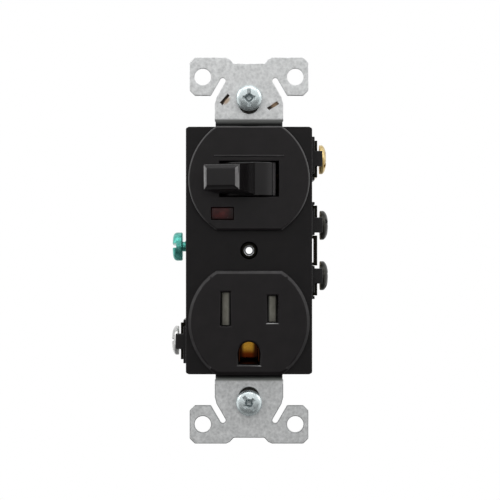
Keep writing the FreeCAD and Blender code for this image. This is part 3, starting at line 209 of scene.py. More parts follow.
def splitPlace(tree, coordinates):
    # one output for each axis
    place = addNode(tree, "ShaderNodeTexCoord")
    split = addNode(tree, "ShaderNodeSeparateXYZ")
    tree.links.new(place.outputs[coordinates], split.inputs["Vector"])
    return split.outputs


def ramp(tree, source, lowColour, highColour, low, high):
    node = addNode(tree, "ShaderNodeValToRGB")
    node.color_ramp.elements[0].position = low
    node.color_ramp.elements[1].position = high
    node.color_ramp.elements[0].color = (*lowColour, 1)
    node.color_ramp.elements[1].color = (*highColour, 1)
    tree.links.new(source, node.inputs["Fac"])
    return node.outputs["Color"]


def shareOf(tree, source, low, high, fromValue=0.0, toValue=1.0, step="SMOOTHSTEP"):
    # leads from one value to another between two places, softly or in a straight line
    share = addNode(tree, "ShaderNodeMapRange", interpolation_type=step)
    share.inputs["From Min"].default_value = low
    share.inputs["From Max"].default_value = high
    share.inputs["To Min"].default_value = fromValue
    share.inputs["To Max"].default_value = toValue
    tree.links.new(source, share.inputs["Value"])
    return share.outputs["Result"]


def mixIn(tree, colour, other, share):
    # a plain colour comes in as far as the share says; sockets 6, 7 and 2 are the colours
    mixed = addNode(tree, "ShaderNodeMix", data_type="RGBA")
    mixed.inputs[7].default_value = (*other, 1)
    tree.links.new(share, mixed.inputs["Factor"])
    tree.links.new(colour, mixed.inputs[6])
    return mixed.outputs[2]


def unevenGloss(tree, shader, source, gloss, finer, rougher):
    share = shareOf(tree, source, 0.0, 1.0, gloss - finer, gloss + rougher, "LINEAR")
    tree.links.new(share, shader.inputs["Roughness"])


def bumpFrom(tree, shader, source, strength, depth):
    bump = addNode(tree, "ShaderNodeBump")
    bump.inputs["Strength"].default_value = strength
    bump.inputs["Distance"].default_value = depth * mm
    tree.links.new(source, bump.inputs["Height"])
    tree.links.new(bump.outputs["Normal"], shader.inputs["Normal"])


def paintFrontShade(tree, colour, edgeFrom, edgeTo, shadeColour=(0.012, 0.011, 0.008)):
    # painted shade on everything in front of a depth: the front edges of stamped plates and the front
    # end of the post
    front = splitPlace(tree, "Object")["Y"]
    share = shareOf(tree, front, edgeTo * mm, edgeFrom * mm, step="LINEAR")
    return mixIn(tree, colour, shadeColour, share)


def stainRound(tree, colour, nick, clearAt=1.0, fullAt=0.35):
    # a brown stain round one slit, as long as the slit and fading out from it
    place = addNode(tree, "ShaderNodeTexCoord")
    mapping = addNode(tree, "ShaderNodeMapping", vector_type="TEXTURE")
    mapping.inputs["Location"].default_value = [value * mm for value in nick["place"]]
    mapping.inputs["Rotation"].default_value = (0, math.radians(-nick["turn"]), 0)
    mapping.inputs["Scale"].default_value = [value * mm for value in nick["reach"]]
    far = addNode(tree, "ShaderNodeVectorMath", operation="LENGTH")
    tree.links.new(place.outputs["Object"], mapping.inputs["Vector"])
    tree.links.new(mapping.outputs["Vector"], far.inputs[0])
    share = shareOf(tree, far.outputs["Value"], clearAt, fullAt, toValue=nick["strength"])
    return mixIn(tree, colour, nick["colour"], share)


def fadeAcross(tree, colour, axis, middle, inner, outer, far):
    # keeps a colour near one line and lets it fall to another away from it; each use here paints light
    # or shade
    away = addNode(tree, "ShaderNodeMath", operation="SUBTRACT")
    away.inputs[1].default_value = middle * mm
    tree.links.new(splitPlace(tree, "Object")[axis], away.inputs[0])
    size = addNode(tree, "ShaderNodeMath", operation="ABSOLUTE")
    tree.links.new(away.outputs["Value"], size.inputs[0])
    share = shareOf(tree, size.outputs["Value"], inner * mm, outer * mm)
    return mixIn(tree, colour, far, share)


def fadeAll(tree, colour, look):
    for fade in look.get("paintedFades", ()):
        colour = fadeAcross(tree, colour, **fade)
    return colour


def moulded(name, look):
    # moulded plastic: fine spark texture, slight flow mottling, uneven gloss
    material, tree, shader = newMaterial(name)
    mottle = objectPattern(tree, "ShaderNodeTexNoise", look["mottleScale"], Detail=4.0, Roughness=0.6)
    tint = ramp(tree, mottle.outputs["Fac"], look["dark"], look["light"], low=0.3, high=0.75)
    tree.links.new(fadeAll(tree, tint, look), shader.inputs["Base Color"])
    grain = objectPattern(tree, "ShaderNodeTexNoise", look["grainScale"], Detail=3.0, Roughness=0.7)
    unevenGloss(tree, shader, grain.outputs["Fac"], look["gloss"], finer=0.06, rougher=0.08)
    bumpFrom(tree, shader, grain.outputs["Fac"], look["grain"], depth=0.04)
    shader.inputs["Specular IOR Level"].default_value = look["specular"]
    return material


def plated(name, look):
    # bright or satin metal: rolled streaks, small pits and cloudy tone
    material, tree, shader = newMaterial(name)
    shader.inputs["Metallic"].default_value = look.get("metal", 1.0)
    cloud = objectPattern(tree, "ShaderNodeTexNoise", look["cloudScale"], Detail=5.0, Roughness=0.62)
    tint = ramp(tree, cloud.outputs["Fac"], look["dark"], look["light"], low=0.32, high=0.72)
    # painted shade in front of edgeFrom, fading out by edgeTo
    if "edgeFrom" in look:
        tint = paintFrontShade(tree, tint, look["edgeFrom"], look["edgeTo"])
    tree.links.new(fadeAll(tree, tint, look), shader.inputs["Base Color"])
    streak = objectPattern(tree, "ShaderNodeTexNoise", look["streakScale"],
                           look.get("streakWay", (1, 1, 1)), Detail=3.0, Roughness=0.6)
    unevenGloss(tree, shader, streak.outputs["Fac"], look["gloss"], finer=0.08, rougher=0.12)
    bumpFrom(tree, shader, streak.outputs["Fac"], look["bump"], depth=0.03)
    return material


def galvanised(name, look):
    # zinc coat: spangle cells of slightly different tone and gloss over a cloudy base
    material, tree, shader = newMaterial(name)
    shader.inputs["Metallic"].default_value = look["metal"]
    cells = objectPattern(tree, "ShaderNodeTexVoronoi", look["spangleScale"])
    cloud = objectPattern(tree, "ShaderNodeTexNoise", look["cloudScale"], Detail=6.0, Roughness=0.65)
    blend = addNode(tree, "ShaderNodeMix", data_type="FLOAT")  # sockets 2, 3 and 0 are the values
    blend.inputs["Factor"].default_value = look["spangle"]
    tree.links.new(cloud.outputs["Fac"], blend.inputs[2])
    tree.links.new(cells.outputs["Distance"], blend.inputs[3])
    tint = ramp(tree, blend.outputs[0], look["dark"], look["light"], low=0.25, high=0.7)
    for nick in look["nicks"]:
        tint = stainRound(tree, tint, nick)
    tree.links.new(fadeAll(tree, tint, look), shader.inputs["Base Color"])
    unevenGloss(tree, shader, blend.outputs[0], look["gloss"], finer=0.12, rougher=0.16)
    bumpFrom(tree, shader, cloud.outputs["Fac"], look["bump"], depth=0.04)
    return material


def glazed(name, look):
    # clear or dyed glass, with a faint cloud in its tone and its gloss
    material, tree, shader = newMaterial(name)
    cloud = objectPattern(tree, "ShaderNodeTexNoise", look["scale"], Detail=look["detail"])
    tint = ramp(tree, cloud.outputs["Fac"], look["dark"], look["light"], low=0.3, high=0.7)
    tree.links.new(fadeAll(tree, tint, look), shader.inputs["Base Color"])
    unevenGloss(tree, shader, cloud.outputs["Fac"], look["gloss"], look["finer"], look["rougher"])
    shader.inputs["Specular IOR Level"].default_value = look["specular"]
    shader.inputs["Transmission Weight"].default_value = look["clear"]
    return material


def banded(name, look):
    # a painted body with plain colour bands round it
    material, tree, shader = newMaterial(name)
    bands = objectPattern(tree, "ShaderNodeTexWave", look["bandScale"], bands_direction="X")
    tint = ramp(tree, bands.outputs["Fac"], look["body"], look["band"], low=0.82, high=0.9)
    tree.links.new(tint, shader.inputs["Base Color"])
    grain = objectPattern(tree, "ShaderNodeTexNoise", look["grainScale"], Detail=2.0)
    unevenGloss(tree, shader, grain.outputs["Fac"], look["gloss"], finer=0.0, rougher=0.15)
    return material


# mouldings and fibre
blackFace = moulded("blackFace", dict(
    dark=(0.0040, 0.0030, 0.0034), light=(0.0070, 0.0054, 0.0060), mottleScale=260, grainScale=5200,
    gloss=0.33, grain=0.22, specular=0.3))
blackRim = moulded("blackRim", dict(
    dark=(0.0030, 0.0023, 0.0026), light=(0.0056, 0.0044, 0.0048), mottleScale=260, grainScale=5200,
    gloss=0.33, grain=0.22, specular=0.25))
blackBack = moulded("blackBack", dict(
    dark=(0.0050, 0.0045, 0.0047), light=(0.0085, 0.0077, 0.0080), mottleScale=200, grainScale=4200,
    gloss=0.45, grain=0.35, specular=0.35))
# the fade paints a highlight down the drum's right end, near x 6.85
blackToggle = moulded("blackToggle", dict(
    dark=(0.0030, 0.0023, 0.0026), light=(0.0050, 0.0038, 0.0043), mottleScale=300, grainScale=6000,
    gloss=0.2, grain=0.1, specular=0.37, paintedFades=(
        dict(axis="X", middle=6.85, inner=0.5, outer=0.2, far=(0.075, 0.072, 0.073)),)))
shutterLook = dict(
    dark=(0.20, 0.195, 0.165), light=(0.29, 0.28, 0.24), mottleScale=600, grainScale=5000,
    gloss=0.5, grain=0.25, specular=0.4)
# the fades paint shade on the outer parts of each shutter, where the slot walls shadow it
greyShutterLeft = moulded("greyShutterLeft", dict(shutterLook, paintedFades=(
    dict(axis="X", middle=-6.4, inner=0.6, outer=1.12, far=(0.012, 0.012, 0.010)),)))
greyShutterRight = moulded("greyShutterRight", dict(shutterLook, paintedFades=(
    dict(axis="X", middle=6.4, inner=0.6, outer=1.12, far=(0.012, 0.012, 0.010)),)))
trayPlastic = moulded("trayPlastic", dict(
    dark=(0.05, 0.05, 0.05), light=(0.08, 0.08, 0.08), mottleScale=300, grainScale=5000,
    gloss=0.5, grain=0.25, specular=0.4))
washerFibre = moulded("washerFibre", dict(
    dark=(0.016, 0.014, 0.012), light=(0.035, 0.031, 0.027), mottleScale=900, grainScale=3500,
    gloss=0.7, grain=0.6, specular=0.3))

# metals
rustBrown = (0.52, 0.37, 0.24)
zincLook = dict(
    dark=(0.56, 0.57, 0.57), light=(0.92, 0.93, 0.93), spangleScale=900, spangle=0.3,
    cloudScale=1500, gloss=0.42, bump=0.22, metal=0.9,
    nicks=(dict(place=(-6.05, -0.8, 41.05), turn=50, reach=(1.7, 2.0, 0.75), strength=0.8,
                colour=rustBrown),
           dict(place=(7.0, -0.8, 40.05), turn=34, reach=(1.5, 2.0, 0.75), strength=0.75,
                colour=rustBrown)))
strapZinc = galvanised("strapZinc", zincLook)
screwZinc = plated("screwZinc", dict(
    dark=(0.58, 0.65, 0.66), light=(0.75, 0.82, 0.83), cloudScale=700, streakScale=1800,
    gloss=0.26, bump=0.05, metal=0.8))
nickelScrew = plated("nickelScrew", dict(
    dark=(0.36, 0.36, 0.355), light=(0.72, 0.72, 0.71), cloudScale=700, streakScale=1800,
    gloss=0.24, bump=0.06, metal=0.9))
# painted shade in the driver recesses of the mounting screws
recessPaintedShade = plated("recessPaintedShade", dict(
    dark=(0.26, 0.30, 0.31), light=(0.66, 0.72, 0.73), cloudScale=1500, streakScale=1800,
    gloss=0.3, bump=0.1, metal=0.85))
# edgeFrom and edgeTo give the front edges painted shade
silverPlate = plated("silverPlate", dict(
    dark=(0.62, 0.62, 0.60), light=(0.80, 0.80, 0.78), cloudScale=420, streakScale=1200,
    streakWay=(1, 1, 6), gloss=0.24, bump=0.1, edgeFrom=9.7, edgeTo=10.5))
# edgeFrom and edgeTo give the front edges painted shade
brassSheet = plated("brassSheet", dict(
    dark=(0.62, 0.47, 0.22), light=(0.82, 0.67, 0.38), cloudScale=380, streakScale=1400,
    streakWay=(1, 1, 7), gloss=0.25, bump=0.12, edgeFrom=9.7, edgeTo=10.5))
brassScrew = plated("brassScrew", dict(
    dark=(0.40, 0.27, 0.09), light=(0.80, 0.64, 0.32), cloudScale=600, streakScale=1500,
    gloss=0.2, bump=0.1))
contactBronze = plated("contactBronze", dict(
    dark=(0.62, 0.34, 0.08), light=(0.86, 0.55, 0.18), cloudScale=500, streakScale=1500,
    streakWay=(1, 6, 1), gloss=0.28, bump=0.1, metal=0.85))
# the fades paint shade round a lit patch of the ground contact, at x -0.25, z -26.4
groundBronze = plated("groundBronze", dict(
    dark=(0.68, 0.33, 0.032), light=(0.80, 0.45, 0.065), cloudScale=700, streakScale=1500,
    streakWay=(1, 1, 4), gloss=0.16, bump=0.08, metal=1.0, paintedFades=(
        dict(axis="Z", middle=-26.4, inner=0.8, outer=2.9, far=(0.19, 0.030, 0.004)),
        dict(axis="X", middle=-0.25, inner=0.9, outer=2.0, far=(0.05, 0.014, 0.005)))))
silverTip = plated("silverTip", dict(
    dark=(0.70, 0.70, 0.68), light=(0.86, 0.86, 0.84), cloudScale=900, streakScale=1800,
    gloss=0.25, bump=0.08))
blackenedSteel = plated("blackenedSteel", dict(
    dark=(0.014, 0.014, 0.012), light=(0.050, 0.049, 0.042), cloudScale=1100, streakScale=1500,
    gloss=0.34, bump=0.15, metal=0.8))
greenSteel = plated("greenSteel", dict(
    dark=(0.05, 0.30, 0.25), light=(0.16, 0.60, 0.52), cloudScale=900, streakScale=1600,
    gloss=0.22, bump=0.12, metal=0.8))
springWire = plated("springWire", dict(
    dark=(0.55, 0.55, 0.56), light=(0.72, 0.72, 0.73), cloudScale=900, streakScale=2500,
    gloss=0.25, bump=0.1))
# edgeFrom and edgeTo give the front end of the post painted shade
postSteel = plated("postSteel", dict(
    dark=(0.80, 0.81, 0.83), light=(0.94, 0.95, 0.96), cloudScale=700, streakScale=1500,
    gloss=0.34, bump=0.1, edgeFrom=-1.75, edgeTo=-1.2))

# glass and paint
# the fades paint shade across the lens, darker away from x -7.9 and from z 10.3
redLens = glazed("redLens", dict(
    dark=(0.026, 0.0022, 0.0022), light=(0.062, 0.0050, 0.0046), scale=700, detail=3.0,
    gloss=0.12, finer=0.04, rougher=0.06, specular=0.28, clear=0.0, paintedFades=(
        dict(axis="X", middle=-7.9, inner=1.2, outer=3.3, far=(0.008, 0.0010, 0.0010)),
        dict(axis="Z", middle=10.3, inner=0.5, outer=2.1, far=(0.012, 0.0012, 0.0012)))))
lampGlass = glazed("lampGlass", dict(
    dark=(0.62, 0.55, 0.48), light=(0.82, 0.76, 0.70), scale=500, detail=2.0,
    gloss=0.08, finer=0.03, rougher=0.05, specular=0.5, clear=0.6))
resistorPaint = banded("resistorPaint", dict(
    body=(0.50, 0.33, 0.16), band=(0.22, 0.05, 0.03), bandScale=330, grainScale=3000, gloss=0.3))

# finishes that only some faces of a piece get; most of them are painted shade or painted highlights
# painted shade for the inner side of the break-off fin
finPaintedShade = moulded("finPaintedShade", dict(
    dark=(0.012, 0.008, 0.006), light=(0.04, 0.024, 0.014), mottleScale=1200, grainScale=3000,
    gloss=0.6, grain=0.3, specular=0.2))
slitRust = galvanised("slitRust", dict(
    zincLook, dark=(0.012, 0.008, 0.006), light=(0.04, 0.024, 0.014), metal=0.2))
cutSteel = plated("cutSteel", dict(
    dark=(0.30, 0.31, 0.31), light=(0.52, 0.53, 0.53), cloudScale=900, streakScale=2200,
    streakWay=(1, 5, 1), gloss=0.42, bump=0.2, metal=0.9))
# painted shade on the bends, darkest next to the cover
creasePaintedShade = galvanised("creasePaintedShade", dict(zincLook, paintedFades=(
    dict(axis="Z", middle=34.5, inner=1.85, outer=1.2, far=(0.17, 0.175, 0.17)),
    dict(axis="Z", middle=-34.5, inner=1.6, outer=0.8, far=(0.19, 0.20, 0.19)),
    dict(axis="Z", middle=0, inner=35.1, outer=34.2, far=(0.040, 0.041, 0.040)))))
# painted shade on the lead-in bevels of the slots and the ground hole
slotPaintedShade = moulded("slotPaintedShade", dict(
    dark=(0.0008, 0.0007, 0.0007), light=(0.0018, 0.0016, 0.0016), mottleScale=260, grainScale=5200,
    gloss=0.7, grain=0.2, specular=0.04))
# painted highlight, bright at the hot slot's lip and dim away from it
lipPaintedHighlight = moulded("lipPaintedHighlight", dict(
    dark=(0.16, 0.16, 0.16), light=(0.42, 0.42, 0.42), mottleScale=900, grainScale=5200,
    gloss=0.3, grain=0.1, specular=0.5, paintedFades=(
        dict(axis="X", middle=6.4, inner=0.6, outer=6.5, far=(0.02, 0.02, 0.02)),)))
# painted shade for the parts of the brass strips inside the body
brassPaintedShade = plated("brassPaintedShade", dict(
    dark=(0.06, 0.04, 0.02), light=(0.14, 0.10, 0.05), cloudScale=500, streakScale=1400,
    streakWay=(1, 1, 7), gloss=0.5, bump=0.12))
# painted highlight for edges of the black mouldings
rimPaintedHighlight = moulded("rimPaintedHighlight", dict(
    dark=(0.012, 0.011, 0.0115), light=(0.030, 0.028, 0.029), mottleScale=420, grainScale=5200,
    gloss=0.3, grain=0.15, specular=0.5))
# painted highlight for the lever tip's side bevels and the drum's edges
tipPaintedHighlight = moulded("tipPaintedHighlight", dict(
    dark=(0.11, 0.106, 0.107), light=(0.21, 0.205, 0.207), mottleScale=420, grainScale=6000,
    gloss=0.25, grain=0.1, specular=0.5))
print("materials made")


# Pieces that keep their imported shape, with their edges finished

def cutAcross(piece, heights):
    # parts the flat faces at these heights, so that a finish can end there
    for height in heights:
        editAll(piece)
        bpy.ops.mesh.bisect(plane_co=(0, 0, height * mm), plane_no=(0, 0, 1))
        leaveEdit()


def finishNode(node, name, material, body, edge, cuts=()):
    piece = copyNode(node, name)
    cutAcross(piece, cuts)
    softenEdges(piece, edge)
    dress(piece, material, body, node)


finishNode("strap", "strapSheet", strapZinc, "device", 0.22, cuts=(36.6, -36.6))
fixedPieces = (
    ("base", "rearBase", blackBack, "black_base_moulding", 0.16),
    ("fixed_contact_tip", "fixedTip", silverTip, "silver_contact", 0.08),
    ("switch_load_terminal", "loadTerminal", brassSheet, "brass_strip", 0.12),
    ("hot_terminal_strip", "hotStrip", brassSheet, "brass_strip", 0.12),
    ("neutral_terminal_strip", "neutralStrip", silverPlate, "plated_strip", 0.12),
    ("hot_contact", "hotContact", brassSheet, "brass_strip", 0.1),
    ("neutral_contact", "neutralContact", brassSheet, "brass_strip", 0.1),
    ("ground_contact", "groundContact", groundBronze, "brass_strip", 0.1),
    ("shutter_tray", "shutterTray", trayPlastic, "tray_plastic", 0.12),
    ("pilot_lens", "pilotLens", redLens, "red_lens", 0.3),
    ("rivet_left", "rivetLeft", springWire, "rivet_steel", 0.15),
    ("rivet_right", "rivetRight", springWire, "rivet_steel", 0.15),
    ("ground_rivet", "groundRivet", springWire, "rivet_steel", 0.15),
    ("retaining_washer_top", "washerTop", washerFibre, "fibre_washer", 0.08),
    ("retaining_washer_bottom", "washerBottom", washerFibre, "fibre_washer", 0.08),
)
for node, name, material, slot, edge in fixedPieces:
    finishNode(node, name, material, "device", edge)


def roundPicked(piece, chosen, width, segments):
    # bevels the edges that are chosen by their two ends, in millimetres
    makeActive(piece)
    bpy.ops.object.mode_set(mode="EDIT")
    bpy.ops.mesh.select_mode(type="EDGE")
    bpy.ops.mesh.select_all(action="DESELECT")
    leaveEdit()
    for edge in piece.data.edges:
        first, second = (piece.data.vertices[index].co / mm for index in edge.vertices)
        edge.select = chosen(first, second)
    bpy.ops.object.mode_set(mode="EDIT")
    bpy.ops.mesh.bevel(offset=width * mm, segments=segments)
    leaveEdit()


def squareCorners(piece, look):
    # brings the skin of the flange's corners out to a tighter radius between the same sides
    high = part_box("cover")[1]
    corner = [high.x / mm - look["corner"], high.z / mm - look["corner"]]
    shift = look["corner"] - look["square"]
    for vertex in piece.data.vertices:
        x, y, z = vertex.co / mm
        past = Vector((abs(x) - corner[0], abs(z) - corner[1]))
        if min(past) > 0 and look["corner"] - past.length < look["skin"]:
            tight = past.normalized() * (past.length - shift)
            vertex.co.x = math.copysign((corner[0] + shift + tight.x) * mm, x)
            vertex.co.z = math.copysign((corner[1] + shift + tight.y) * mm, z)


def flareFront(piece, look):
    # the rim stands a little fuller in front than behind, most of all at its two ends
    for vertex in piece.data.vertices:
        x, y, z = vertex.co / mm
        front = clamped((look["back"] - y) / (look["back"] - look["front"]))
        rise = clamped((abs(z) - look["flareFrom"]) / (look["flareTo"] - look["flareFrom"]))
        vertex.co.z += math.copysign(look["flareUp"] * mm * rise * front, z)
        if abs(x) > look["sideFrom"]:
            vertex.co.x += math.copysign(look["flareOut"] * mm * front, x)


def makeCover():
    # well rounded face outlines, square corners and a full rim
    look = dict(faceUp=19.45, faceDeep=(-7.02, -6.6), level=0.01, outFrom=10.8, upFrom=12.3,
                round=0.16, segments=3, edge=0.14, corner=1.4, square=0.8, skin=0.5,
                flareUp=0.47, flareFrom=24.0, flareTo=33.4, flareOut=0.18, sideFrom=16.9,
                front=-2.9, back=6.5)

    def onOutline(first, second):
        middle = (first + second) / 2
        level = abs(first.y - second.y) < look["level"] and within(middle.y, look["faceDeep"])
        up = abs(abs(middle.z) - look["faceUp"])
        return level and (abs(middle.x) > look["outFrom"] or up > look["upFrom"])

    piece = copyNode("cover", "frontCover")
    roundPicked(piece, onOutline, look["round"], look["segments"])
    softenEdges(piece, look["edge"])
    squareCorners(piece, look)
    flareFront(piece, look)
    levelFlats(piece)
    dress(piece, blackFace, "device", "cover")


def makeLever():
    # the tip's own edges are rounder than the rest of the moulding
    look = dict(axis=(0, 0.5, 19.45), turn=20, reach=21.2, round=0.4, segments=4, edge=0.12,
                drum=9.55, drumHalf=4.55, near=0.02, rim=0.25)
    turn = math.radians(look["turn"])
    out = Vector((-math.sin(turn), -math.cos(turn), 0))
    axis = Vector(look["axis"])

    def onTip(first, second):
        return min((first - axis).dot(out), (second - axis).dot(out)) > look["reach"]

    def onDrumRim(first, second):
        ends = [abs(abs(end.z - axis.z) - look["drumHalf"]) < look["near"] for end in (first, second)]
        radii = [math.hypot(end.x - axis.x, end.y - axis.y) for end in (first, second)]
        return all(ends) and min(radii) > look["drum"]

    piece = copyNode("toggle", "rockerLever")
    roundPicked(piece, onTip, look["round"], look["segments"])
    roundPicked(piece, onDrumRim, look["rim"], look["segments"])
    softenEdges(piece, look["edge"])
    dress(piece, blackToggle, "toggle", "toggle")


makeCover()
makeLever()
movingPieces = (
    ("contact_blade", "contactBlade", contactBronze, "contact_leaf", "spring_bronze", 0.06),
    ("moving_contact_tip", "movingTip", silverTip, "contact_leaf", "silver_contact", 0.08),
    ("shutter_left", "shutterLeft", greyShutterLeft, "shutter_left", "grey_shutter", 0.1),
    ("shutter_right", "shutterRight", greyShutterRight, "shutter_right", "grey_shutter", 0.1),
)
for node, name, material, body, slot, edge in movingPieces:
    finishNode(node, name, material, body, edge)


# Faces with a finish of their own, chosen by centre and normal; most of these finishes are painted
# shade or painted highlights

def inSlit(centre, normal):
    look = dict(wide=(5.0, 8.2), tall=(38.4, 43.0), deep=(-1.16, -0.3))
    across = within(abs(centre.x), look["wide"]) and within(centre.z, look["tall"])
    return across and within(centre.y, look["deep"])


def onCutEdge(centre, normal):
    # the sheared sides of the lower ears and neck, and the roundings beside them
    look = dict(flat=0.93, top=-35.8)
    return abs(normal.y) < look["flat"] and centre.z < look["top"]


def onCrease(centre, normal):
    # where the sheet turns back at both ends of the body, given painted shade that is darkest next to
    # the cover
    look = dict(tall=(33.3, 36.6), back=1.4, wide=9.5)
    inFront = centre.y < look["back"] and abs(centre.x) < look["wide"]
    return inFront and within(abs(centre.z), look["tall"])


def onFaceOutline(centre, normal):
    # the bevels round the two raised faces at their curved sides, given a painted highlight
    look = dict(lean=(-0.97, -0.2), side=0.25, deep=(-7.02, -6.5), faceUp=19.45, outFrom=10.8,
                upFrom=12.3)
    turned = abs(normal.x) > look["side"] or normal.z > look["side"]
    up = abs(abs(centre.z) - look["faceUp"])
    outline = abs(centre.x) > look["outFrom"] or up > look["upFrom"]
    return turned and outline and within(normal.y, look["lean"]) and within(centre.y, look["deep"])


def onRaisedMark(centre, normal):
    # the faces standing in front of the face plane, given a painted highlight
    face = -7.06
    return centre.y < face


def onRim(centre, normal):
    # the flat flange round the two raised faces
    look = dict(lean=-0.9, deep=(-6.0, 2.0))
    return normal.y < look["lean"] and within(centre.y, look["deep"])


def onLeadIn(centre, normal):
    # bevels of the blade slots and of the ground hole, below the plane of the face, given painted shade
    look = dict(wide=9, tall=(-31.6, -8), deep=(-6.8, -5.2))
    inside = abs(centre.x) < look["wide"] and within(centre.z, look["tall"])
    return inside and within(centre.y, look["deep"])


def onLowerLip(centre, normal):
    # painted highlights on the lower lips of the hot slot and of the ground hole
    look = dict(slot=(5.2, 7.5), slotTall=(-23, -18), pin=(-2.6, 2.6), pinTall=(-31.8, -29),
                face=-6.92, lean=0.12)
    bySlot = within(centre.x, look["slot"]) and within(centre.z, look["slotTall"])
    byPin = within(centre.x, look["pin"]) and within(centre.z, look["pinTall"])
    return (bySlot or byPin) and centre.y <= look["face"] and normal.z > look["lean"]


def insideBody(centre, normal):
    # the part of a strip that sits inside the body, given painted shade
    side = 12.5
    return centre.x < side


def onFinInside(centre, normal):
    # the inner side of the break-off fin, given painted shade like its front edges
    look = dict(lean=-0.3, outFrom=14)
    return normal.x < look["lean"] and centre.x > look["outFrom"]


def onDrumEdges(centre, normal):
    # the upper rim of the drum and its right end, given a painted highlight
    look = dict(lean=(0.3, 0.96), top=23.6, wide=(0.5, 7.3), end=7.2, endLean=0.2, front=-4)
    upper = within(normal.z, look["lean"]) and centre.z > look["top"] and within(centre.x, look["wide"])
    end = centre.x > look["end"] and normal.x > look["endLean"]
    return centre.y < look["front"] and (upper or end)


def onTipSides(centre, normal):
    # the bevels at the left and right of the lever's tip, given a painted highlight
    look = dict(flat=0.45, leftFront=-18.2, leftLean=-0.5, forward=-0.1, rightFront=-20.2,
                rightFrom=-5.5, rightLean=0.2)
    left = centre.y < look["leftFront"] and normal.x < look["leftLean"] and normal.y < look["forward"]
    right = (centre.y < look["rightFront"] and centre.x > look["rightFrom"]
             and normal.x > look["rightLean"])
    return abs(normal.z) < look["flat"] and (left or right)


ownFinishes = (
    ("strapSheet", slitRust, inSlit),
    ("strapSheet", cutSteel, onCutEdge),
    ("strapSheet", creasePaintedShade, onCrease),
    ("frontCover", slotPaintedShade, onLeadIn),
    ("frontCover", lipPaintedHighlight, onLowerLip),
    ("frontCover", rimPaintedHighlight, onFaceOutline),
    ("frontCover", rimPaintedHighlight, onRaisedMark),
    ("frontCover", blackRim, onRim),
    ("loadTerminal", brassPaintedShade, insideBody),
    ("hotStrip", brassPaintedShade, insideBody),
    ("hotStrip", finPaintedShade, onFinInside),
    ("rockerLever", rimPaintedHighlight, onDrumEdges),
    ("rockerLever", tipPaintedHighlight, onTipSides),
)
for name, material, chosen in ownFinishes:
    refinish(bpy.data.objects[name], material, chosen)
print("plates and mouldings finished")


# Screws

def windUp(piece, pitch, turns, steps):
    # carries a small ring round and up the Z axis and closes both ends of what it leaves
    ring = len(piece.data.vertices)
    wind = piece.modifiers.new("wind", "SCREW")
    wind.axis = "Z"
    wind.screw_offset = pitch * mm
    wind.iterations = turns
    wind.steps = steps
    wind.render_steps = steps
    applyModifiers(piece)
    editAll(piece)
    bpy.ops.mesh.fill_holes(sides=ring)
    bpy.ops.mesh.normals_make_consistent(inside=False)
    leaveEdit()


def turnProfile(name, profile, sides=48):
    # a disc drawn out step by step and resized at each step, as on a lathe
    radius, height = profile[0]
    deselectAll()
    bpy.ops.mesh.primitive_circle_add(vertices=sides, radius=radius * mm, fill_type="NGON",
                                      location=(0, 0, height * mm))
    piece = bpy.context.object
    piece.name = name
    settle(piece)
    editAll(piece)
    for nextRadius, nextHeight in profile[1:]:
        share = nextRadius / radius
        bpy.ops.mesh.extrude_region_move(
            TRANSFORM_OT_translate={"value": (0, 0, (nextHeight - height) * mm)})
        bpy.ops.transform.resize(value=(share, share, 1), center_override=(0, 0, nextHeight * mm))
        radius, height = nextRadius, nextHeight
    bpy.ops.mesh.select_all(action="SELECT")
    bpy.ops.mesh.normals_make_consistent(inside=False)
    leaveEdit()
    return piece


def cutThread(piece, look, low, high, lean=90):
    # a three-sided ridge wound up a shank, or up a bore with the lean turned round
    deselectAll()
    bpy.ops.mesh.primitive_circle_add(vertices=3, radius=look["ridge"] * mm,
                                      location=(look["core"] * mm, 0, low * mm),
                                      rotation=(math.radians(90), math.radians(lean), 0))
    thread = bpy.context.object
    settle(thread)
    windUp(thread, look["pitch"], int((high - low) / look["pitch"]), steps=20)
    deselectAll()
    thread.select_set(True)
    piece.select_set(True)
    bpy.context.view_layer.objects.active = piece
    bpy.ops.object.join()


def carve(piece, cutter):
    settle(cutter)
    cut = piece.modifiers.new("recess", "BOOLEAN")
    cut.operation = "DIFFERENCE"
    cut.solver = "EXACT"
    cut.object = cutter
    applyModifiers(piece)
    bpy.data.objects.remove(cutter)


def carveArm(piece, top, wide, long, deep, turn, tall=2):
    # one straight arm of a driver recess, cut by a bar that stands out above the head
    deselectAll()
    bpy.ops.mesh.primitive_cube_add(size=1, location=(0, 0, (top - deep + tall / 2) * mm),
                                    rotation=(0, 0, math.radians(turn)))
    arm = bpy.context.object
    arm.scale = (wide * mm, long * mm, tall * mm)
    carve(piece, arm)


def carvePit(piece, top, wide, deep):
    # the four-sided pit where the arms cross, narrower at its bottom
    look = dict(floor=0.45, mouth=1.1, tall=1.2, sunk=0.4)
    reach = wide / math.sqrt(2) * mm
    deselectAll()
    bpy.ops.mesh.primitive_cone_add(vertices=4, radius1=reach * look["floor"],
                                    radius2=reach * look["mouth"], depth=deep * look["tall"] * mm,
                                    location=(0, 0, (top - deep * look["sunk"]) * mm))
    carve(piece, bpy.context.object)


def makeScrew(name, look):
    # the recess is cut before the edges are softened and the thread is wound
    piece = turnProfile(name, look["profile"])
    for arm in look["arms"]:
        carveArm(piece, look["top"], **arm)
    for pit in look["pits"]:
        carvePit(piece, look["top"], **pit)
    softenEdges(piece, look["edge"], angle=30)
    cutThread(piece, look, look["threadLow"], look["threadHigh"])
    return piece


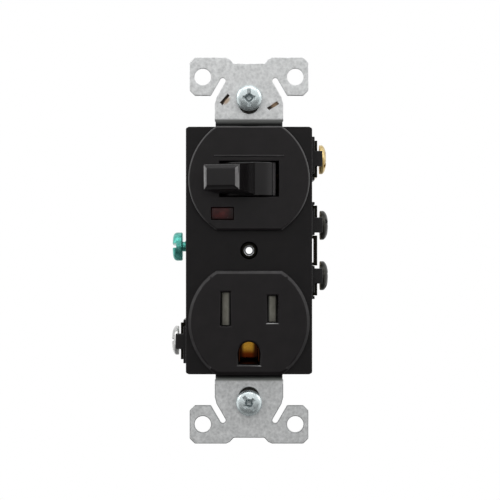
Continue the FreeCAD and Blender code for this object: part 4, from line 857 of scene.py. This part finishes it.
# binding head: thin flat rim, low dome, a slot with a shorter arm across it
terminalMaster = makeScrew("terminalMaster", dict(
    profile=((1.1, -4.2), (1.38, -3.9), (1.38, 0.0), (3.95, 0.0), (4.1, 0.12), (4.1, 0.8),
             (4.02, 1.0), (3.78, 1.24), (3.35, 1.52), (2.75, 1.76), (1.95, 1.92), (0.95, 2.0)),
    top=2.0, arms=(dict(wide=1.05, long=9.0, deep=0.75, turn=0),
                   dict(wide=1.0, long=5.4, deep=0.85, turn=90)),
    pits=(dict(wide=2.0, deep=1.5),),
    edge=0.05, threadLow=-4.0, threadHigh=-0.5, core=1.38, ridge=0.37, pitch=0.79))
# taller rounded head with one deep slot
greenMaster = makeScrew("greenMaster", dict(
    profile=((1.1, -4.2), (1.38, -3.9), (1.38, 0.0), (3.7, 0.0), (3.92, 0.12), (4.0, 0.35),
             (4.0, 1.55), (3.9, 1.95), (3.65, 2.3), (3.25, 2.55), (2.6, 2.72), (1.5, 2.8)),
    top=2.8, arms=(dict(wide=1.2, long=9.0, deep=1.1, turn=0),), pits=(),
    edge=0.06, threadLow=-4.0, threadHigh=-0.5, core=1.38, ridge=0.37, pitch=0.79))
# oval head with a crossed recess, a plain neck, then the thread to a cut point
mountingMaster = makeScrew("mountingMaster", dict(
    profile=((0.9, -21.0), (1.36, -20.5), (1.36, -4.5), (1.45, -4.4), (1.45, 0.0), (3.4, 0.0),
             (3.55, 0.15), (3.55, 0.6), (3.44, 0.88), (3.2, 1.15), (2.75, 1.44), (2.2, 1.66),
             (1.5, 1.82), (0.7, 1.9)),
    top=1.9, arms=(dict(wide=0.95, long=4.7, deep=0.62, turn=0),
                   dict(wide=0.95, long=3.5, deep=0.62, turn=90)),
    pits=(dict(wide=2.3, deep=1.6),),
    edge=0.05, threadLow=-20.6, threadHigh=-4.6, core=1.36, ridge=0.39, pitch=0.794))


def fitScrew(master, node, name, way, turn, material):
    # a copy of its own mesh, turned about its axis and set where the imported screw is
    piece = bpy.data.objects.new(name, master.data.copy())
    bpy.context.scene.collection.objects.link(piece)
    low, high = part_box(node)
    middle = (low + high) / 2
    head = max(point.co.z for point in piece.data.vertices)
    piece.rotation_euler = (0, 0, math.radians(turn))
    settle(piece)
    if way == "+X":
        piece.rotation_euler = (0, math.radians(90), 0)
        piece.location = (high.x - head, middle.y, middle.z)
    elif way == "-X":
        piece.rotation_euler = (0, math.radians(-90), 0)
        piece.location = (low.x + head, middle.y, middle.z)
    else:
        piece.rotation_euler = (math.radians(90), 0, 0)
        piece.location = (middle.x, low.y + head, middle.z)
    settle(piece)
    dress(piece, material, node, node)


def recessFaces(piece):
    # walls and floors of the driver recess, while the screw still stands on its axis
    look = dict(reach=2.45, floor=1.4, steep=0.75, head=0.3)
    found = []
    for face in piece.data.polygons:
        x, y, z = face.center / mm
        sunk = z < look["floor"] or face.normal.z < look["steep"]
        if math.hypot(x, y) < look["reach"] and z > look["head"] and sunk:
            found.append(face.index)
    return found


def raiseHead(name, node):
    # a head that isn't driven home: it stands off its plate and is a little thicker
    look = dict(head=2.0, near=0.01, off=0.2, thicker=0.15)
    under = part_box(node)[1].x - look["head"] * mm
    for vertex in bpy.data.objects[name].data.vertices:
        if vertex.co.x > under - look["near"] * mm:
            vertex.co.x += look["off"] * mm + (vertex.co.x - under) * look["thicker"]


screwFits = (
    (terminalMaster, "brass_screw", "brassScrewTurned", "+X", 35, brassScrew, "brass_screw_metal"),
    (terminalMaster, "black_screw_upper", "blackScrewUpper", "+X", -20, blackenedSteel,
     "black_screw_metal"),
    (terminalMaster, "black_screw_lower", "blackScrewLower", "+X", 62, blackenedSteel,
     "black_screw_metal"),
    (terminalMaster, "silver_screw", "silverScrewTurned", "-X", 10, nickelScrew, "silver_screw_metal"),
    (greenMaster, "green_screw", "greenScrewTurned", "-X", 5, greenSteel, "green_screw_metal"),
    (mountingMaster, "mounting_screw_top", "mountingScrewTop", "-Y", 0, screwZinc, "zinc_screw_metal"),
    (mountingMaster, "mounting_screw_bottom", "mountingScrewBottom", "-Y", 38, screwZinc,
     "zinc_screw_metal"),
)
for master, node, name, way, turn, material, slot in screwFits:
    fitScrew(master, node, name, way, turn, material)
raiseHead("blackScrewUpper", "black_screw_upper")
raiseHead("blackScrewLower", "black_screw_lower")
# the recess faces get painted shade
crossFaces = recessFaces(mountingMaster)
for name in ("mountingScrewTop", "mountingScrewBottom"):
    mesh = bpy.data.objects[name].data
    mesh.materials.append(recessPaintedShade)
    for index in crossFaces:
        mesh.polygons[index].material_index = 1
for master in (terminalMaster, greenMaster, mountingMaster):
    bpy.data.objects.remove(master)


def makePost():
    # the tube of the centre post with its thread standing in along the bore
    look = dict(core=1.42, ridge=0.42, pitch=0.794, edge=0.08, backIn=0.3, frontIn=0.5)
    piece = copyNode("centre_post", "centrePost")
    softenEdges(piece, look["edge"])
    low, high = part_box("centre_post")
    piece.rotation_euler = (math.radians(-90), 0, 0)
    settle(piece)
    cutThread(piece, look, -high.y / mm + look["backIn"], -low.y / mm - look["frontIn"], lean=-90)
    piece.rotation_euler = (math.radians(90), 0, 0)
    settle(piece)
    dress(piece, postSteel, "device", "centre_post")


makePost()
print("screws turned")


# Springs

def makeSpring(name, look):
    # round wire wound along its own axis, then laid from its start to its end
    start = Vector(look["start"])
    along = Vector(look["end"]) - start
    deselectAll()
    bpy.ops.mesh.primitive_circle_add(vertices=look["sides"], radius=look["wire"] * mm,
                                      location=(look["radius"] * mm, 0, 0),
                                      rotation=(math.radians(90), 0, 0))
    piece = bpy.context.object
    piece.name = name
    settle(piece)
    windUp(piece, along.length / look["turns"], look["turns"], look["steps"])
    piece.rotation_euler = along.to_track_quat("Z", "Y").to_euler()
    piece.location = start * mm
    settle(piece)
    smoothByAngle(piece, degrees=50)
    piece.data.materials.append(springWire)
    return piece


def makeToggleSpring():
    # crosses the toggle's joint; baked in place and attached to neither body
    look = dict(start=(0, 22.375, 19.45), end=(3.52, 10.18, 19.45), radius=0.85, wire=0.2, turns=4,
                sides=12, steps=32)
    piece = makeSpring("toggleSpring", look)
    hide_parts("toggle_spring")
    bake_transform(piece)


def makeShutterSpring():
    # lies between the two shutters and is attached to the device
    look = dict(start=(-6.54, -3.1, -15.85), end=(6.54, -3.1, -15.85), radius=0.5, wire=0.2, turns=4,
                sides=12, steps=32, middle=(0, -3.1, -15.85), keep=0.44)
    piece = makeSpring("shutterSpring", look)
    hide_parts("shutter_spring")
    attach(piece, "device")
    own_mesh(piece)


makeToggleSpring()
makeShutterSpring()
print("springs wound")


# Carried over as packed

def coatNode(node, material):
    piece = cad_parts[node]
    piece.data.materials.clear()
    piece.data.materials.append(material)
    smoothByAngle(piece, degrees=32)


coatNode("neon_lamp", lampGlass)
coatNode("resistor", resistorPaint)
print("carried-over nodes coated")


# Light, world, floor and camera

def pickShader(tree, share, first, second):
    # the first shader at 0 and the second at 1
    mixed = addNode(tree, "ShaderNodeMixShader")
    tree.links.new(share, mixed.inputs["Fac"])
    tree.links.new(first, mixed.inputs[1])
    tree.links.new(second, mixed.inputs[2])
    return mixed.outputs["Shader"]


def roomLight(tree, look):
    # white at the sides and behind, a grey room in front that is brighter above, dim below
    way = splitPlace(tree, "Generated")
    side = shareOf(tree, way["Y"], *look["side"])
    glow = shareOf(tree, way["Z"], *look["rise"], look["low"], look["high"])
    around = addNode(tree, "ShaderNodeMix", data_type="FLOAT")  # sockets 2, 3 and 0 are the values
    around.inputs[3].default_value = 1.0
    tree.links.new(side, around.inputs["Factor"])
    tree.links.new(glow, around.inputs[2])
    below = shareOf(tree, way["Z"], *look["drop"], look["under"], 1.0)
    both = addNode(tree, "ShaderNodeMath", operation="MULTIPLY")
    tree.links.new(around.outputs[0], both.inputs[0])
    tree.links.new(below, both.inputs[1])
    return both.outputs["Value"]


def makeWorld():
    # a plain fill, the room in mirrors, and white where the camera sees past the object
    look = dict(level=0.5, low=0.22, high=0.97, under=0.25, side=(-0.62, -0.28), rise=(-0.2, 0.2),
                drop=(-0.7, -0.25))
    world = bpy.data.worlds.new("studio")
    bpy.context.scene.world = world
    world.use_nodes = True
    tree = world.node_tree
    tree.nodes.clear()
    output = addNode(tree, "ShaderNodeOutputWorld")
    rays = addNode(tree, "ShaderNodeLightPath")
    mirrored = addNode(tree, "ShaderNodeBackground")
    tree.links.new(roomLight(tree, look), mirrored.inputs["Color"])
    fill = addNode(tree, "ShaderNodeBackground", Color=(1, 1, 1, 1), Strength=look["level"])
    paper = addNode(tree, "ShaderNodeBackground", Color=(1, 1, 1, 1), Strength=1.0)
    lit = pickShader(tree, rays.outputs["Is Glossy Ray"], fill.outputs["Background"],
                     mirrored.outputs["Background"])
    seen = addNode(tree, "ShaderNodeMath", operation="MAXIMUM")
    tree.links.new(rays.outputs["Is Camera Ray"], seen.inputs[0])
    tree.links.new(rays.outputs["Is Transmission Ray"], seen.inputs[1])
    shown = pickShader(tree, seen.outputs["Value"], lit, paper.outputs["Background"])
    tree.links.new(shown, output.inputs["Surface"])


def addPanel(name, place, size, power):
    # a lamp that looks at the middle of the object
    bpy.ops.object.light_add(type="AREA", location=place)
    panel = bpy.context.object
    panel.name = name
    panel.data.shape = "RECTANGLE"
    panel.data.size = size[0]
    panel.data.size_y = size[1]
    panel.data.energy = power
    panel.rotation_euler = (Vector((0, 0, 0)) - Vector(place)).to_track_quat("-Z", "Y").to_euler()


def makeFloor():
    # pale paper under the object, white to the camera and keeping the shadow
    look = dict(colour=(0.92, 0.92, 0.92), rough=0.9, specular=0.1, below=0.26, reach=1.35, sides=96,
                shadow=0.35)
    bpy.ops.mesh.primitive_circle_add(vertices=look["sides"], radius=look["reach"], fill_type="NGON",
                                      location=(0, 0, -look["below"]))
    floor = bpy.context.object
    floor.name = "floor"
    material, tree, shader = newMaterial("floorPaper")
    shader.inputs["Base Color"].default_value = (*look["colour"], 1)
    shader.inputs["Roughness"].default_value = look["rough"]
    shader.inputs["Specular IOR Level"].default_value = look["specular"]
    white = addNode(tree, "ShaderNodeEmission", Color=(1, 1, 1, 1), Strength=1.0)
    rays = addNode(tree, "ShaderNodeLightPath")
    share = addNode(tree, "ShaderNodeMath", operation="MULTIPLY")
    share.inputs[1].default_value = 1 - look["shadow"]
    tree.links.new(rays.outputs["Is Camera Ray"], share.inputs[0])
    paper = pickShader(tree, share.outputs["Value"], shader.outputs["BSDF"], white.outputs["Emission"])
    tree.links.new(paper, tree.nodes["Material Output"].inputs["Surface"])
    floor.data.materials.append(material)
    floor.visible_glossy = False


def makeCamera():
    look = dict(place=(0.00027, -0.507, 0.00014), lens=132.7, sensor=36, near=0.01)
    bpy.ops.object.camera_add(location=look["place"], rotation=(math.radians(90), 0, 0))
    camera = bpy.context.object
    camera.data.lens = look["lens"]
    camera.data.sensor_width = look["sensor"]
    camera.data.clip_start = look["near"]
    bpy.context.scene.camera = camera


panels = (
    ("leftPanel", (-0.65, -0.15, 0.4), (0.35, 0.5), 0.9),
    ("rightPanel", (0.65, -0.15, 0.4), (0.35, 0.5), 0.9),
    ("topPanel", (0.0, -0.3, 0.65), (0.8, 0.3), 1.2),
    ("frontPanel", (0.0, -0.9, 0.12), (0.2, 0.2), 1.6),
)
deselectAll()
makeWorld()
makeFloor()
for name, place, size, power in panels:
    addPanel(name, place, size, power)
bpy.data.objects["frontPanel"].visible_glossy = False  # a fill that leaves no patch on the flat faces
makeCamera()
bpy.context.scene.view_settings.view_transform = "Standard"
print("studio set")
